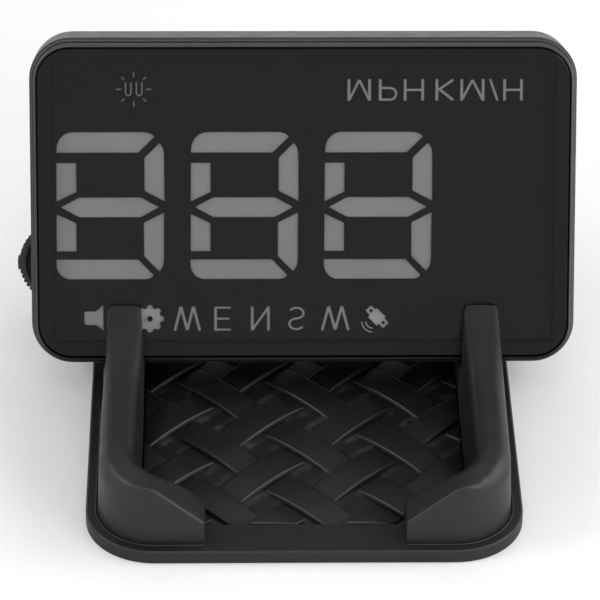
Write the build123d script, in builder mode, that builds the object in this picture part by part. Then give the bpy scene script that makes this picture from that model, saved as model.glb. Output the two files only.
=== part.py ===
from build123d import *
import math
import os

# Solar head-up speed display standing in a dashboard stand. Millimetres, +Z up,
# origin at the middle of the stand's underside, display facing -Y and leaning back.
#
# Display pieces are drawn in the plane of the glass: local x runs right and y runs up
# from the middle of the face. "Height" is measured up from the unit's lower edge.
# "Depth" is measured back from the front face; each sketch lies at the rear of its
# shape and is extruded forward.

# ---------------------------------------------------------------- stand dimensions
PAD_WIDTH = 74.6         # base pad, X
PAD_LENGTH = 83.2        # base pad, Y
PAD_TOP = 2.55
PAD_RADIUS = 11.9
PAD_LIFT = 0.15          # pad rim clear of the dashboard, the gel sole carries it
PAD_CHAMFER = 0.28
SOLE_THICK = 0.60
SOLE_INSET = 1.6
SOLE_GAP = 0.1
MAT_WIDTH = 55.7         # woven mat insert
MAT_FRONT = -34.1
MAT_BACK = 34.6
MAT_THICK = 1.10
MAT_TOP = 2.50
MAT_RADIUS = 3.0
MAT_GAP = 0.1
MAT_FLOOR_GAP = 0.02
POCKET_CHAMFER = 0.11
RAIL_OUTER = 35.25       # outer foot of a rail, X
RAIL_INNER = 28.0        # inner foot of a rail, X
RAIL_FRONT = -39.65      # outer foot of the front lip, Y
RAIL_LIP_INNER = -32.6   # inner foot of the front lip, Y
RAIL_BACK = 35.6         # rear foot of the rail, Y
RAIL_LIP_END = 16.9      # cut end of the lip, X
RAIL_OUTER_RADIUS = 9.8
RAIL_INNER_RADIUS = 3.4
RAIL_BACK_RADIUS = 2.0
RAIL_BLANK_HEIGHT = 24.5
RAIL_TAPER = 2.5         # wall draft, degrees
CROWN_Y = -31.0          # where the crown stands at CROWN_CORNER_Z
CROWN_CORNER_Z = 15.3    # crown height over the front corner
TIP_HEIGHT = 11.55       # rail tip, measured up the unit's face
POST_HEIGHT = 22.0       # rear post, measured up the unit's back
LIP_END_Z = 6.85         # lip height at its cut end
LIP_SLOPE = 0.80         # rise per mm along the lip
PEG_RADIUS = 1.5
PEG_FIT = 0.04           # radial clearance of the rail pegs in the pad
PEG_SOLE_GAP = 0.15
PEGS = [(31.4, -34.9), (31.6, -14.0), (31.6, 8.0), (31.6, 29.5)]   # X, Y, right side

# ---------------------------------------------------------------- display dimensions
LEAN = math.radians(24.8)   # lean back from vertical
UNIT_WIDTH = 96.0
UNIT_HEIGHT = 57.8
UNIT_DEPTH = 16.0
UNIT_RADIUS = 7.3
UNIT_X = 0.33            # the unit stands this far right of centre
UNIT_Y = 1.86            # lower front edge of the unit
UNIT_Z = 9.60
SEAT_GAP = 0.06          # unit to stand clearance

# Insets from the unit's outline
BEZEL_INSET = 0.80
NECK_INSET = 1.10        # bezel neck inside the mid frame
FRAME_INSET = 0.38
SPIGOT_INSET = 0.90      # mid frame spigot inside the rear cover
FRAME_BORE_INSET = 2.4
OPENING_INSET = 3.0      # bezel opening behind the lens
LENS_INSET = 1.50
LENS_TRIM = 0.15         # extra inset of the lens at top and bottom
MASK_INSET = OPENING_INSET + 0.12
LIGHT_BOX_INSET = 2.6
PCB_INSET = 3.2
WALL = 1.6
SLIDE_FIT = 0.05         # play between parts that slide together

LENS_THICK = 1.5
LENS_RADIUS = 5.7
LENS_GAP = 0.28          # shadow gap round the lens
OPENING_RADIUS = LENS_RADIUS - 1.4
MASK_RADIUS = LENS_RADIUS - 1.5

# Depths behind the front face
RIM_FRONT, RIM_REAR = 0.15, 1.75
NECK_REAR = 2.50
FRAME_FRONT, FRAME_REAR = 2.00, 3.00
SPIGOT_REAR = 6.20
COVER_FRONT = 3.15
REBATE_REAR = 6.30
CAVITY_FLOOR = 13.8      # inner face of the rear wall
BOSS_SPLIT = 8.0         # where frame and cover bosses meet
LIGHT_BOX_FRONT, LIGHT_BOX_REAR = 3.00, 6.45
PCB_FRONT, PCB_REAR = 6.50, 7.70
CLEAR = 4.0              # length of a cut that runs clear of its wall

CORNERS = [(-1, -1), (-1, 1), (1, -1), (1, 1)]
SCREW_EDGE = 5.0         # case screws in from the unit's edges
SCREW_X = UNIT_WIDTH / 2 - SCREW_EDGE
SCREW_Y = UNIT_HEIGHT / 2 - SCREW_EDGE
CASE_SCREWS = [(sx * SCREW_X, sy * SCREW_Y) for sx, sy in CORNERS]
PCB_SCREWS = [(-20.0, 15.2), (25.0, 15.2), (-10.0, -16.2), (18.0, -16.2)]
BOARD_POSTS = [(-33.0, 22.3), (-33.0, -22.6), (33.0, 23.0), (24.0, -19.0)]

BUZZER = (-24.0, -18.0)
PANEL = (0.0, 9.1)       # middle of the solar recess
PANEL_WIDTH = 74.0
PANEL_HEIGHT = 30.0
PANEL_RADIUS = 2.0
PANEL_GAP = 0.15
BATTERY = (6.0, 3.0)

WHEEL = (-43.60, -11.95)
WHEEL_RADIUS = 6.76
THUMB_RADIUS = 6.95      # smooth thumb pad on the rim
WHEEL_FRONT, WHEEL_REAR = 9.40, 12.00
WHEEL_TEETH = 54
TOOTH_DEPTH = 0.32
SLOT_GAP = 0.30          # wheel to slot, front and rear
JOG_BASE = (WHEEL[0] + 4.15, WHEEL[1])
JOG_BASE_HEIGHT = 1.0
SLIDER_REAR = 9.30
SLIDER_HEIGHT = 8.0
AXLE_RADIUS = 0.75

UP_FACE = (0.0, math.sin(LEAN), math.cos(LEAN))
OUT_OF_FACE = (0.0, -math.cos(LEAN), math.sin(LEAN))


# ---------------------------------------------------------------- placing
def unit_point(height, depth=0.0):
    """World Y and Z of a point on the side view of the unit."""
    return (UNIT_Y + height * UP_FACE[1] - depth * OUT_OF_FACE[1],
            UNIT_Z + height * UP_FACE[2] - depth * OUT_OF_FACE[2])


FACE = Plane(origin=(UNIT_X, *unit_point(UNIT_HEIGHT / 2)), x_dir=(1, 0, 0), z_dir=OUT_OF_FACE)
FACING = Axis(FACE.origin, FACE.z_dir)


def deep(depth):
    """Plane parallel to the glass at a depth, facing forward."""
    return FACE.offset(-depth)


def at(x, y, depth):
    """World point from local x, y and depth."""
    return FACE.from_local_coords(Vector(x, y, -depth))


def local_y(height):
    """Local y of a height above the unit's lower edge."""
    return height - UNIT_HEIGHT / 2


def port_plane(offset):
    """Plane facing +X through the charging port, offset from the unit's right side."""
    port_y, port_z = unit_point(UNIT_HEIGHT / 2 - 14.0, 9.35)
    return Plane(origin=(UNIT_X + UNIT_WIDTH / 2 + offset, port_y, port_z),
                 x_dir=UP_FACE, z_dir=(1, 0, 0))


def front_edges(builder):
    return builder.faces().sort_by(FACING)[-1].edges()


def rear_edges(builder):
    return builder.faces().sort_by(FACING)[0].edges()


# ---------------------------------------------------------------- shapes drawn in the open sketch
def unit_outline(inset, radius=None, trim=0.0):
    """Rounded rectangle inset from the unit's outline, with extra trim top and bottom."""
    corner = UNIT_RADIUS - inset if radius is None else radius
    RectangleRounded(UNIT_WIDTH - 2 * inset, UNIT_HEIGHT - 2 * (inset + trim), corner)


def discs(radius, *spots, mode=Mode.ADD):
    with Locations(*spots):
        Circle(radius, mode=mode)


def rects(width, height, *spots, radius=0, mode=Mode.ADD):
    with Locations(*spots):
        if radius:
            RectangleRounded(width, height, radius, mode=mode)
        else:
            Rectangle(width, height, mode=mode)


def clear_corners(disc_radius, square):
    """Cut the corners back round the case screw bosses."""
    discs(disc_radius, *CASE_SCREWS, mode=Mode.SUBTRACT)
    spots = [(sx * (SCREW_X + 2.5), sy * (SCREW_Y + 2.5)) for sx, sy in CORNERS]
    rects(square, square, *spots, mode=Mode.SUBTRACT)


def draw(points, left=0.0):
    """Polygon from (x, height) points, shifted right by left."""
    Polygon(*[(left + x, local_y(height)) for x, height in points], align=None)


# ---------------------------------------------------------------- legend outlines
DIGIT_LEFTS = (-43.45, -19.90, 3.60)
CELL_MARGIN = 0.25       # light box cell margin round a segment

# Seven segments of one digit: x from the digit's left edge, height.
SEGMENTS = [
    # top
    [(0.2, 37.7), (0.25, 39.0), (0.75, 40.15), (1.6, 40.95), (2.7, 41.35), (15.8, 41.35),
     (16.7, 41.05), (17.35, 40.5), (14.5, 37.7)],
    # upper left
    [(0.15, 35.9), (3.6, 35.9), (3.6, 30.75), (0.1, 29.05)],
    # upper right
    [(18.2, 39.4), (18.75, 38.65), (19.0, 37.7), (19.05, 29.1), (15.55, 30.95), (15.55, 36.8)],
    # middle
    [(0.85, 28.05), (4.1, 29.8), (14.85, 29.8), (18.1, 28.05), (14.85, 26.25), (4.1, 26.25)],
    # lower left
    [(0.1, 26.85), (3.55, 25.2), (3.55, 20.2), (0.05, 20.2)],
    # lower right
    [(18.95, 27.1), (15.4, 25.3), (15.4, 19.3), (18.05, 16.6), (18.6, 17.3), (18.9, 18.3)],
    # bottom
    [(0.0, 18.75), (14.35, 18.75), (17.05, 15.95), (16.6, 15.4), (15.9, 15.2), (2.0, 15.2),
     (0.9, 15.75), (0.2, 16.7), (0.0, 17.65)],
]
FLAT_SEGMENTS = (0, 3, 6)   # the horizontal ones

SUN = (-29.68, 48.87)       # light sensor window
GEAR = (-27.09, 8.11)
SATELLITE = (13.0, 8.35)
SATELLITE_PANELS = [(SATELLITE[0] - 1.02, SATELLITE[1] + 1.12),
                    (SATELLITE[0] + 1.12, SATELLITE[1] - 1.02)]

# Light box windows behind the small marks: centre x, centre height, width, height.
MARK_CELLS = [
    (11.0, 48.7, 8.4, 5.0), (19.3, 48.7, 5.6, 5.0), (31.0, 48.7, 16.4, 5.0),
    (-36.6, 8.25, 5.2, 5.6), (-27.09, 8.11, 5.8, 5.8), (-20.5, 8.1, 5.6, 5.4),
    (-14.3, 8.1, 4.2, 5.4), (-7.6, 8.1, 4.6, 5.4), (-1.2, 8.1, 4.2, 5.4),
    (5.6, 8.1, 5.6, 5.4), (12.5, 8.2, 6.0, 6.0),
]
SENSOR_CELL = (*SUN, 7.2, 6.6)


def polar(centre, radius, degrees):
    angle = math.radians(degrees)
    return (centre[0] + radius * math.cos(angle), centre[1] + radius * math.sin(angle))


def ribbon(points, width):
    """Closed outline of a bent stroke along points."""
    left, right = [], []
    for i, (x, y) in enumerate(points):
        x_before, y_before = points[max(i - 1, 0)]
        x_after, y_after = points[min(i + 1, len(points) - 1)]
        run, rise = x_after - x_before, y_after - y_before
        length = math.hypot(run, rise)
        x_off, y_off = -rise / length * width / 2, run / length * width / 2
        left.append((x + x_off, y + y_off))
        right.append((x - x_off, y - y_off))
    return left + right[::-1]


def bar(x_start, y_start, x_end, y_end, width):
    """Outline of a straight stroke."""
    return ribbon([(x_start, y_start), (x_end, y_end)], width)


def arc(x, y, radius, start, end, steps=10, radius_y=None):
    """Points along a circular or elliptical arc, angles in degrees."""
    angles = [math.radians(start + (end - start) * i / steps) for i in range(steps + 1)]
    tall = radius if radius_y is None else radius_y
    return [(x + radius * math.cos(a), y + tall * math.sin(a)) for a in angles]


def diamond(x, y, reach):
    return [(x, y + reach), (x + reach, y), (x, y - reach), (x - reach, y)]


def grown(points, margin):
    """Convex outline with every edge pushed outward by margin."""
    pairs = list(zip(points, points[1:] + points[:1]))
    area = sum(x0 * y1 - x1 * y0 for (x0, y0), (x1, y1) in pairs)
    turn = 1.0 if area > 0 else -1.0
    normals = []             # outward normal of the edge that leaves each point
    for (x0, y0), (x1, y1) in pairs:
        length = math.hypot(x1 - x0, y1 - y0)
        normals.append((turn * (y1 - y0) / length, -turn * (x1 - x0) / length))
    result = []
    for i, (x, y) in enumerate(points):
        before, after = normals[i - 1], normals[i]
        scale = margin / (1.0 + before[0] * after[0] + before[1] * after[1])
        result.append((x + scale * (before[0] + after[0]), y + scale * (before[1] + after[1])))
    return result


# Each letter fills the box left..right, low..high with strokes based on one width.
def left_stem(left, low, high, width):
    return bar(left + width / 2, low, left + width / 2, high, width)


def two_stems(left, right, low, high, width):
    return [left_stem(left, low, high, width),
            bar(right - width / 2, low, right - width / 2, high, width)]


def letter_m(left, right, low, high, width):
    middle = (left + right) / 2
    foot, top = low + width * 0.3, high - width * 0.3
    return two_stems(left, right, low, high, width) + [
        bar(left + width * 0.6, foot, middle, top, width * 0.85),
        bar(right - width * 0.6, foot, middle, top, width * 0.85)]


def letter_h(left, right, low, high, width):
    middle = (low + high) / 2
    return two_stems(left, right, low, high, width) + [
        bar(left + width, middle, right - width, middle, width * 0.8)]


def letter_n(left, right, low, high, width):
    return two_stems(left, right, low, high, width) + [
        bar(left + width * 0.5, low + width * 0.3,
            right - width * 0.5, high - width * 0.3, width * 0.9)]


def letter_p(left, right, low, high, width):
    radius = (high - low) * 0.27
    middle = low + radius + width * 0.4
    bowl = [(left + width, middle - radius),
            *arc(right - radius - width * 0.4, middle, radius, -90, 90),
            (left + width, middle + radius)]
    return [left_stem(left, low, high, width), ribbon(bowl, width * 0.8)]


def letter_k(left, right, low, high, width):
    middle = (low + high) / 2
    tip = right - width * 0.4
    return [left_stem(left, low, high, width),
            bar(left + width, middle, tip, high - width * 0.2, width * 0.9),
            bar(left + width * 1.4, middle + width * 0.2, tip, low + width * 0.2, width * 0.9)]


def letter_w(left, right, low, high, width):
    span = right - left
    xs = [left + width * 0.4, left + span * 0.27, left + span * 0.5, left + span * 0.73,
          right - width * 0.4]
    ys = [low, high, low + 0.15, high, low]
    return [bar(xs[i], ys[i], xs[i + 1], ys[i + 1], width) for i in range(4)]


def letter_e(left, right, low, high, width):
    arms = [(low + width * 0.4, right), (high - width * 0.4, right),
            ((low + high) / 2, right - 0.25)]
    return [left_stem(left, low, high, width)] + [
        bar(left + width, y, end, y, width * 0.8) for y, end in arms]


def letter_s(left, right, low, high, width):
    tall = (high - low - width) / 4
    wide = (right - left - width) / 2
    middle = (left + right) / 2
    upper = arc(middle, high - width / 2 - tall, wide, -90, 150, 12, tall)
    lower = arc(middle, low + width / 2 + tall, wide, 90, 330, 12, tall)
    return [ribbon(upper[::-1], width * 0.85), ribbon(lower, width * 0.85)]


def letter_outlines():
    """Unit letters above the digits and the row of letters below them."""
    top_low, top_high = 46.8, 50.6
    top_row = [(letter_m, 7.68, 11.79), (letter_p, 13.15, 16.39), (letter_h, 17.52, 21.08),
               (letter_k, 23.06, 26.38), (letter_m, 27.42, 31.66), (letter_h, 34.93, 38.37)]
    low_row = [(letter_w, -22.91, -18.11), (letter_e, -15.75, -12.81), (letter_n, -9.27, -5.93),
               (letter_s, -2.72, 0.28), (letter_w, 3.11, 8.17)]
    outlines = []
    for letter, left, right in top_row:
        outlines += letter(left, right, top_low, top_high, 0.50)
    outlines.append(bar(32.6, top_high, 33.95, top_low, 0.42))
    for letter, left, right in low_row:
        outlines += letter(left, right, 5.95, 10.27, 0.48)
    return outlines


def speaker_outlines():
    body = [(-38.35, 9.47), (-36.6, 9.47), (-35.33, 10.63), (-35.33, 5.99), (-36.6, 7.0),
            (-38.35, 7.0), (-38.67, 7.3), (-38.67, 9.17)]
    waves = [ribbon(arc(-35.9, 8.25, radius, -40, 40, 8), 0.30) for radius in (1.6, 2.3, 3.05)]
    return [body] + waves


def satellite_outlines():
    """Body, two panels and two signal arcs, set at 45 degrees."""
    x, y = SATELLITE
    signals = [ribbon(arc(x - 0.72, y - 0.76, radius, 182, 268, 8), 0.30)
               for radius in (1.25, 1.95)]
    panels = [diamond(*panel, 1.0) for panel in SATELLITE_PANELS]
    return [diamond(x, y, 1.62)] + panels + signals


def sun_outlines():
    """Eight rays round two U shapes."""
    outlines = []
    for k in range(8):
        inner, outer = (2.1, 3.1) if k % 2 == 0 else (2.3, 3.05)
        outlines.append(bar(*polar(SUN, inner, 45 * k), *polar(SUN, outer, 45 * k), 0.22))
    u_shape = [(-0.48, 1.25), (-0.48, -0.6), (-0.34, -0.98), (0, -1.12), (0.34, -0.98),
               (0.48, -0.6), (0.48, 1.25)]
    for shift in (-0.95, 0.95):
        outlines.append(ribbon([(SUN[0] + shift + x, SUN[1] + y) for x, y in u_shape], 0.24))
    return outlines


def gear_outline():
    tooth = [(-16, 1.98), (-9, 2.47), (9, 2.47), (16, 1.98)]   # degrees, radius
    return [polar(GEAR, radius, 45 * k + turn) for k in range(8) for turn, radius in tooth]


# ---------------------------------------------------------------- stand
def base_pad():
    with BuildPart() as pad:
        with BuildSketch(Plane.XY.offset(PAD_LIFT)):
            RectangleRounded(PAD_WIDTH, PAD_LENGTH, PAD_RADIUS)
        extrude(amount=PAD_TOP - PAD_LIFT)
        chamfer(pad.faces().sort_by(Axis.Z)[-1].edges(), PAD_CHAMFER)
        # pocket for the woven mat
        with BuildSketch(Plane.XY.offset(MAT_TOP - MAT_THICK - MAT_FLOOR_GAP)):
            rects(MAT_WIDTH + 2 * MAT_GAP, MAT_BACK - MAT_FRONT + 2 * MAT_GAP,
                  (0, (MAT_FRONT + MAT_BACK) / 2), radius=MAT_RADIUS)
        extrude(amount=CLEAR, mode=Mode.SUBTRACT)
        # eased edge round the pocket, leaving out the pad's own top edges
        reach_x, reach_y = MAT_WIDTH / 2 + 0.25, MAT_BACK + 0.3
        chamfer([edge for edge in pad.edges().group_by(Axis.Z)[-1]
                 if abs(edge.center().Y) < reach_y and abs(edge.center().X) < reach_x],
                POCKET_CHAMFER)
        # recess for the gel sole
        with BuildSketch(Plane.XY):
            RectangleRounded(PAD_WIDTH - 2 * SOLE_INSET, PAD_LENGTH - 2 * SOLE_INSET,
                             PAD_RADIUS - SOLE_INSET)
        extrude(amount=SOLE_THICK, mode=Mode.SUBTRACT)
        # sockets for the rail pegs
        with BuildSketch(Plane.XY.offset(SOLE_THICK)):
            for side in (-1, 1):
                discs(PEG_RADIUS, *[(side * x, y) for x, y in PEGS])
        extrude(amount=CLEAR, mode=Mode.SUBTRACT)
    return pad.part


def gel_sole():
    margin = 2 * (SOLE_INSET + SOLE_GAP)
    with BuildPart() as sole:
        with BuildSketch(Plane.XY):
            RectangleRounded(PAD_WIDTH - margin, PAD_LENGTH - margin, PAD_RADIUS - SOLE_INSET)
        extrude(amount=SOLE_THICK)
    return sole.part


def weave_mat():
    with BuildPart() as mat:
        with BuildSketch(Plane.XY.offset(MAT_TOP - MAT_THICK)):
            rects(MAT_WIDTH, MAT_BACK - MAT_FRONT, (0, (MAT_FRONT + MAT_BACK) / 2),
                  radius=MAT_RADIUS)
        extrude(amount=MAT_THICK)
    return mat.part


def rail_cutaway():
    """Side view (Y, Z) of what is cut off a rail: over the crown, the notch and the post."""
    tip_y, tip_z = unit_point(TIP_HEIGHT, -SEAT_GAP)
    post_y, post_z = unit_point(POST_HEIGHT, UNIT_DEPTH + SEAT_GAP)
    crown_slope = (tip_z - CROWN_CORNER_Z) / (tip_y - CROWN_Y)
    front_y, sky_z = -45, 40     # beyond the rail
    return [
        (front_y, CROWN_CORNER_Z + (front_y - CROWN_Y) * crown_slope),
        (tip_y, tip_z),
        unit_point(-SEAT_GAP, -SEAT_GAP),                 # toe of the notch
        unit_point(-SEAT_GAP, UNIT_DEPTH + SEAT_GAP),     # heel of the notch
        (post_y, post_z), (post_y + 2.6, post_z - 0.4),
        (RAIL_BACK + 0.5, 2.0), (RAIL_BACK + 6, 1.0),
        (RAIL_BACK + 6, sky_z), (front_y, sky_z),
    ]


def right_rail():
    with BuildPart() as rail:
        # L-shaped foot
        with BuildSketch(Plane.XY.offset(PAD_TOP)):
            with BuildLine():
                Polyline((RAIL_LIP_END, RAIL_LIP_INNER), (RAIL_LIP_END, RAIL_FRONT),
                         (RAIL_OUTER, RAIL_FRONT), (RAIL_OUTER, RAIL_BACK),
                         (RAIL_INNER, RAIL_BACK), (RAIL_INNER, RAIL_LIP_INNER), close=True)
            make_face()
            fillet([v for v in vertices() if abs(v.X - RAIL_OUTER) < 0.01 and v.Y < 0],
                   RAIL_OUTER_RADIUS)
            fillet([v for v in vertices() if abs(v.X - RAIL_INNER) < 0.01 and v.Y < 0],
                   RAIL_INNER_RADIUS)
            fillet([v for v in vertices() if v.Y > RAIL_BACK - 0.01], RAIL_BACK_RADIUS)
        extrude(amount=RAIL_BLANK_HEIGHT, taper=RAIL_TAPER)
        with BuildSketch(Plane.YZ):
            with BuildLine():
                Polyline(*rail_cutaway(), close=True)
            make_face()
        extrude(amount=50, mode=Mode.SUBTRACT)
        # sloping lip, cut from 2 mm before its end to 12 mm past it
        with BuildSketch(Plane.XZ.offset(28)):
            with BuildLine():
                Polyline((RAIL_LIP_END - 2, LIP_END_Z - 2 * LIP_SLOPE),
                         (RAIL_LIP_END + 12, LIP_END_Z + 12 * LIP_SLOPE),
                         (RAIL_LIP_END + 12, 40), (RAIL_LIP_END - 2, 40), close=True)
            make_face()
        extrude(amount=30, mode=Mode.SUBTRACT)
        # locating pegs
        with BuildSketch(Plane.XY.offset(SOLE_THICK + PEG_SOLE_GAP)):
            discs(PEG_RADIUS - PEG_FIT, *PEGS)
        extrude(amount=PAD_TOP - SOLE_THICK)
    return rail.part


def left_rail():
    original = right_rail()
    with BuildPart() as rail:
        add(original)
        mirror(about=Plane.YZ, mode=Mode.REPLACE)
    return rail.part


# ---------------------------------------------------------------- display case
def front_lens():
    with BuildPart() as lens:
        with BuildSketch(deep(LENS_THICK)):
            unit_outline(LENS_INSET, LENS_RADIUS, LENS_TRIM)
        extrude(amount=LENS_THICK)
        chamfer(front_edges(lens), 0.18)
    return lens.part


def lens_gasket():
    with BuildPart() as gasket:
        with BuildSketch(deep(LENS_THICK + 0.14)):
            unit_outline(LENS_INSET + 0.1, LENS_RADIUS - 0.1, LENS_TRIM)
            RectangleRounded(UNIT_WIDTH - 2 * OPENING_INSET + 0.2,
                             UNIT_HEIGHT - 2 * OPENING_INSET + 0.2,
                             OPENING_RADIUS, mode=Mode.SUBTRACT)
        extrude(amount=0.13)
    return gasket.part


def front_bezel():
    with BuildPart() as bezel:
        # front rim
        with BuildSketch(deep(RIM_REAR)):
            unit_outline(BEZEL_INSET)
        extrude(amount=RIM_REAR - RIM_FRONT)
        fillet(front_edges(bezel), 0.26)
        # neck that the mid frame slides over
        with BuildSketch(deep(NECK_REAR)):
            unit_outline(NECK_INSET)
        extrude(amount=NECK_REAR - RIM_REAR)
        # seat for the lens
        with BuildSketch(deep(LENS_THICK + 0.15)):
            unit_outline(LENS_INSET - LENS_GAP, LENS_RADIUS + LENS_GAP, LENS_TRIM)
        extrude(amount=CLEAR, mode=Mode.SUBTRACT)
        # opening behind the lens
        with BuildSketch(deep(CLEAR)):
            unit_outline(OPENING_INSET, OPENING_RADIUS)
        extrude(amount=CLEAR, mode=Mode.SUBTRACT)
    return bezel.part


def mid_frame():
    boss_front, boss_rear = 2.93, BOSS_SPLIT - 0.03
    with BuildPart() as frame:
        with BuildSketch(deep(FRAME_REAR)):
            unit_outline(FRAME_INSET)
        extrude(amount=FRAME_REAR - FRAME_FRONT)
        fillet(front_edges(frame), 0.22)
        # spigot that locates the rear cover
        with BuildSketch(deep(SPIGOT_REAR)):
            unit_outline(SPIGOT_INSET)
        extrude(amount=SPIGOT_REAR - FRAME_REAR)
        # recess for the bezel's neck
        with BuildSketch(deep(NECK_REAR + 0.03)):
            unit_outline(NECK_INSET - SLIDE_FIT)
        extrude(amount=2, mode=Mode.SUBTRACT)
        with BuildSketch(deep(8.0)):
            unit_outline(FRAME_BORE_INSET)
        extrude(amount=8, mode=Mode.SUBTRACT)
        # corner screw bosses, joined to the frame wall, with blind pilot holes
        with BuildSketch(deep(boss_rear)):
            discs(2.3, *CASE_SCREWS)
        extrude(amount=boss_rear - boss_front)
        with BuildSketch(deep(BOSS_SPLIT)):
            discs(1.0, *CASE_SCREWS)
        extrude(amount=4.4, mode=Mode.SUBTRACT)
    return frame.part


def rear_cover():
    with BuildPart() as cover:
        with BuildSketch(deep(UNIT_DEPTH)):
            unit_outline(0)
        extrude(amount=UNIT_DEPTH - COVER_FRONT)
        fillet(rear_edges(cover), 2.2)
        fillet(front_edges(cover), 0.25)
        with BuildSketch(deep(CAVITY_FLOOR)):
            unit_outline(WALL)
        extrude(amount=CAVITY_FLOOR, mode=Mode.SUBTRACT)
        # rebate over the mid frame's spigot
        with BuildSketch(deep(REBATE_REAR)):
            unit_outline(SPIGOT_INSET - SLIDE_FIT)
        extrude(amount=REBATE_REAR, mode=Mode.SUBTRACT)
        # corner bosses, and posts that reach to the circuit board
        with BuildSketch(deep(CAVITY_FLOOR)):
            discs(2.5, *CASE_SCREWS)
        extrude(amount=CAVITY_FLOOR - BOSS_SPLIT)
        with BuildSketch(deep(CAVITY_FLOOR)):
            discs(1.5, *BOARD_POSTS)
        extrude(amount=CAVITY_FLOOR - (PCB_REAR + 0.05))
        # screw holes with counterbored heads
        with BuildSketch(deep(UNIT_DEPTH)):
            discs(1.1, *CASE_SCREWS)
        extrude(amount=UNIT_DEPTH - 7.0, mode=Mode.SUBTRACT)
        with BuildSketch(deep(UNIT_DEPTH)):
            discs(2.1, *CASE_SCREWS)
        extrude(amount=1.7, mode=Mode.SUBTRACT)
        # solar recess and its wire hole
        with BuildSketch(deep(UNIT_DEPTH)):
            rects(PANEL_WIDTH, PANEL_HEIGHT, PANEL, radius=PANEL_RADIUS)
        extrude(amount=1.10, mode=Mode.SUBTRACT)
        with BuildSketch(deep(UNIT_DEPTH)):
            rects(5.0, 2.6, (-28.0, 20.0), radius=1.2)
        extrude(amount=CLEAR, mode=Mode.SUBTRACT)
        # sounder holes
        with BuildSketch(deep(UNIT_DEPTH)):
            with Locations(BUZZER):
                Circle(0.55)
                with PolarLocations(2.0, 6):
                    Circle(0.55)
        extrude(amount=CLEAR, mode=Mode.SUBTRACT)
        # slot for the jog wheel in the left wall
        with BuildSketch(deep(WHEEL_REAR + SLOT_GAP)):
            rects(8, 13.5, (-UNIT_WIDTH / 2, WHEEL[1]), radius=0.6)
        extrude(amount=WHEEL_REAR - WHEEL_FRONT + 2 * SLOT_GAP, mode=Mode.SUBTRACT)
        # charging port in the right wall
        with BuildSketch(port_plane(1)):
            RectangleRounded(9.3, 3.6, 1.75)
        extrude(amount=-4.0, mode=Mode.SUBTRACT)
    return cover.part


# ---------------------------------------------------------------- optics and circuit board
def legend_mask():
    with BuildPart() as mask:
        with BuildSketch(deep(1.79)):
            unit_outline(MASK_INSET, MASK_RADIUS)
        extrude(amount=0.25)
        with BuildSketch(deep(2.2)):
            for left in DIGIT_LEFTS:
                for segment in SEGMENTS:
                    draw(segment, left)
            for points in (letter_outlines() + speaker_outlines() + satellite_outlines()
                           + sun_outlines() + [gear_outline()]):
                draw(points)
            # the gear's hub and a dot in each satellite panel stay black
            discs(0.48, (GEAR[0], local_y(GEAR[1])), mode=Mode.SUBTRACT)
            discs(0.30, *[(x, local_y(height)) for x, height in SATELLITE_PANELS],
                  mode=Mode.SUBTRACT)
        extrude(amount=1.0, mode=Mode.SUBTRACT)
    return mask.part


def diffuser_sheet():
    with BuildPart() as sheet:
        with BuildSketch(deep(2.85)):
            unit_outline(MASK_INSET, MASK_RADIUS)
        extrude(amount=1.05)
    return sheet.part


def light_box():
    with BuildPart() as box:
        with BuildSketch(deep(LIGHT_BOX_REAR)):
            unit_outline(LIGHT_BOX_INSET, 3.0)
            clear_corners(disc_radius=2.7, square=5.4)
        extrude(amount=LIGHT_BOX_REAR - LIGHT_BOX_FRONT)
        # a cell behind every segment and group of small marks
        with BuildSketch(deep(7.0)):
            for left in DIGIT_LEFTS:
                for segment in SEGMENTS:
                    draw(grown(segment, CELL_MARGIN), left)
            for x, centre_height, width, height in MARK_CELLS + [SENSOR_CELL]:
                rects(width, height, (x, local_y(centre_height)))
        extrude(amount=6, mode=Mode.SUBTRACT)
        # pilot holes for the board screws
        with BuildSketch(deep(LIGHT_BOX_REAR)):
            discs(0.80, *PCB_SCREWS)
        extrude(amount=3.0, mode=Mode.SUBTRACT)
    return box.part


def main_pcb():
    with BuildPart() as board:
        with BuildSketch(deep(PCB_REAR)):
            unit_outline(PCB_INSET, 2.0)
            clear_corners(disc_radius=2.8, square=5.6)
            discs(0.85, *PCB_SCREWS, mode=Mode.SUBTRACT)
        extrude(amount=PCB_REAR - PCB_FRONT)
    return board.part


def segment_leds():
    """Two LEDs in each horizontal segment, one in each other segment and mark cell."""
    long_side, short_side = 1.6, 0.8
    with BuildPart() as leds:
        with BuildSketch(deep(PCB_FRONT)):
            for left in DIGIT_LEFTS:
                for k, segment in enumerate(SEGMENTS):
                    xs, heights = zip(*segment)
                    x = (min(xs) + max(xs)) / 2 + left
                    y = local_y((min(heights) + max(heights)) / 2)
                    if k in FLAT_SEGMENTS:
                        rects(long_side, short_side, (x - 3.0, y), (x + 3.0, y))
                    else:
                        rects(short_side, long_side, (x, y))
            rects(long_side, short_side, *[(cell[0], local_y(cell[1])) for cell in MARK_CELLS])
        extrude(amount=0.6)
    return leds.part


def light_sensor():
    body_height = 0.7
    spot = (SUN[0], local_y(SUN[1]))
    with BuildPart() as sensor:
        with BuildSketch(deep(PCB_FRONT)):
            rects(2.0, 1.3, spot)
        extrude(amount=body_height)
        with BuildSketch(deep(PCB_FRONT - body_height)):
            discs(0.5, spot)
        extrude(amount=0.25)
    return sensor.part


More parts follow.
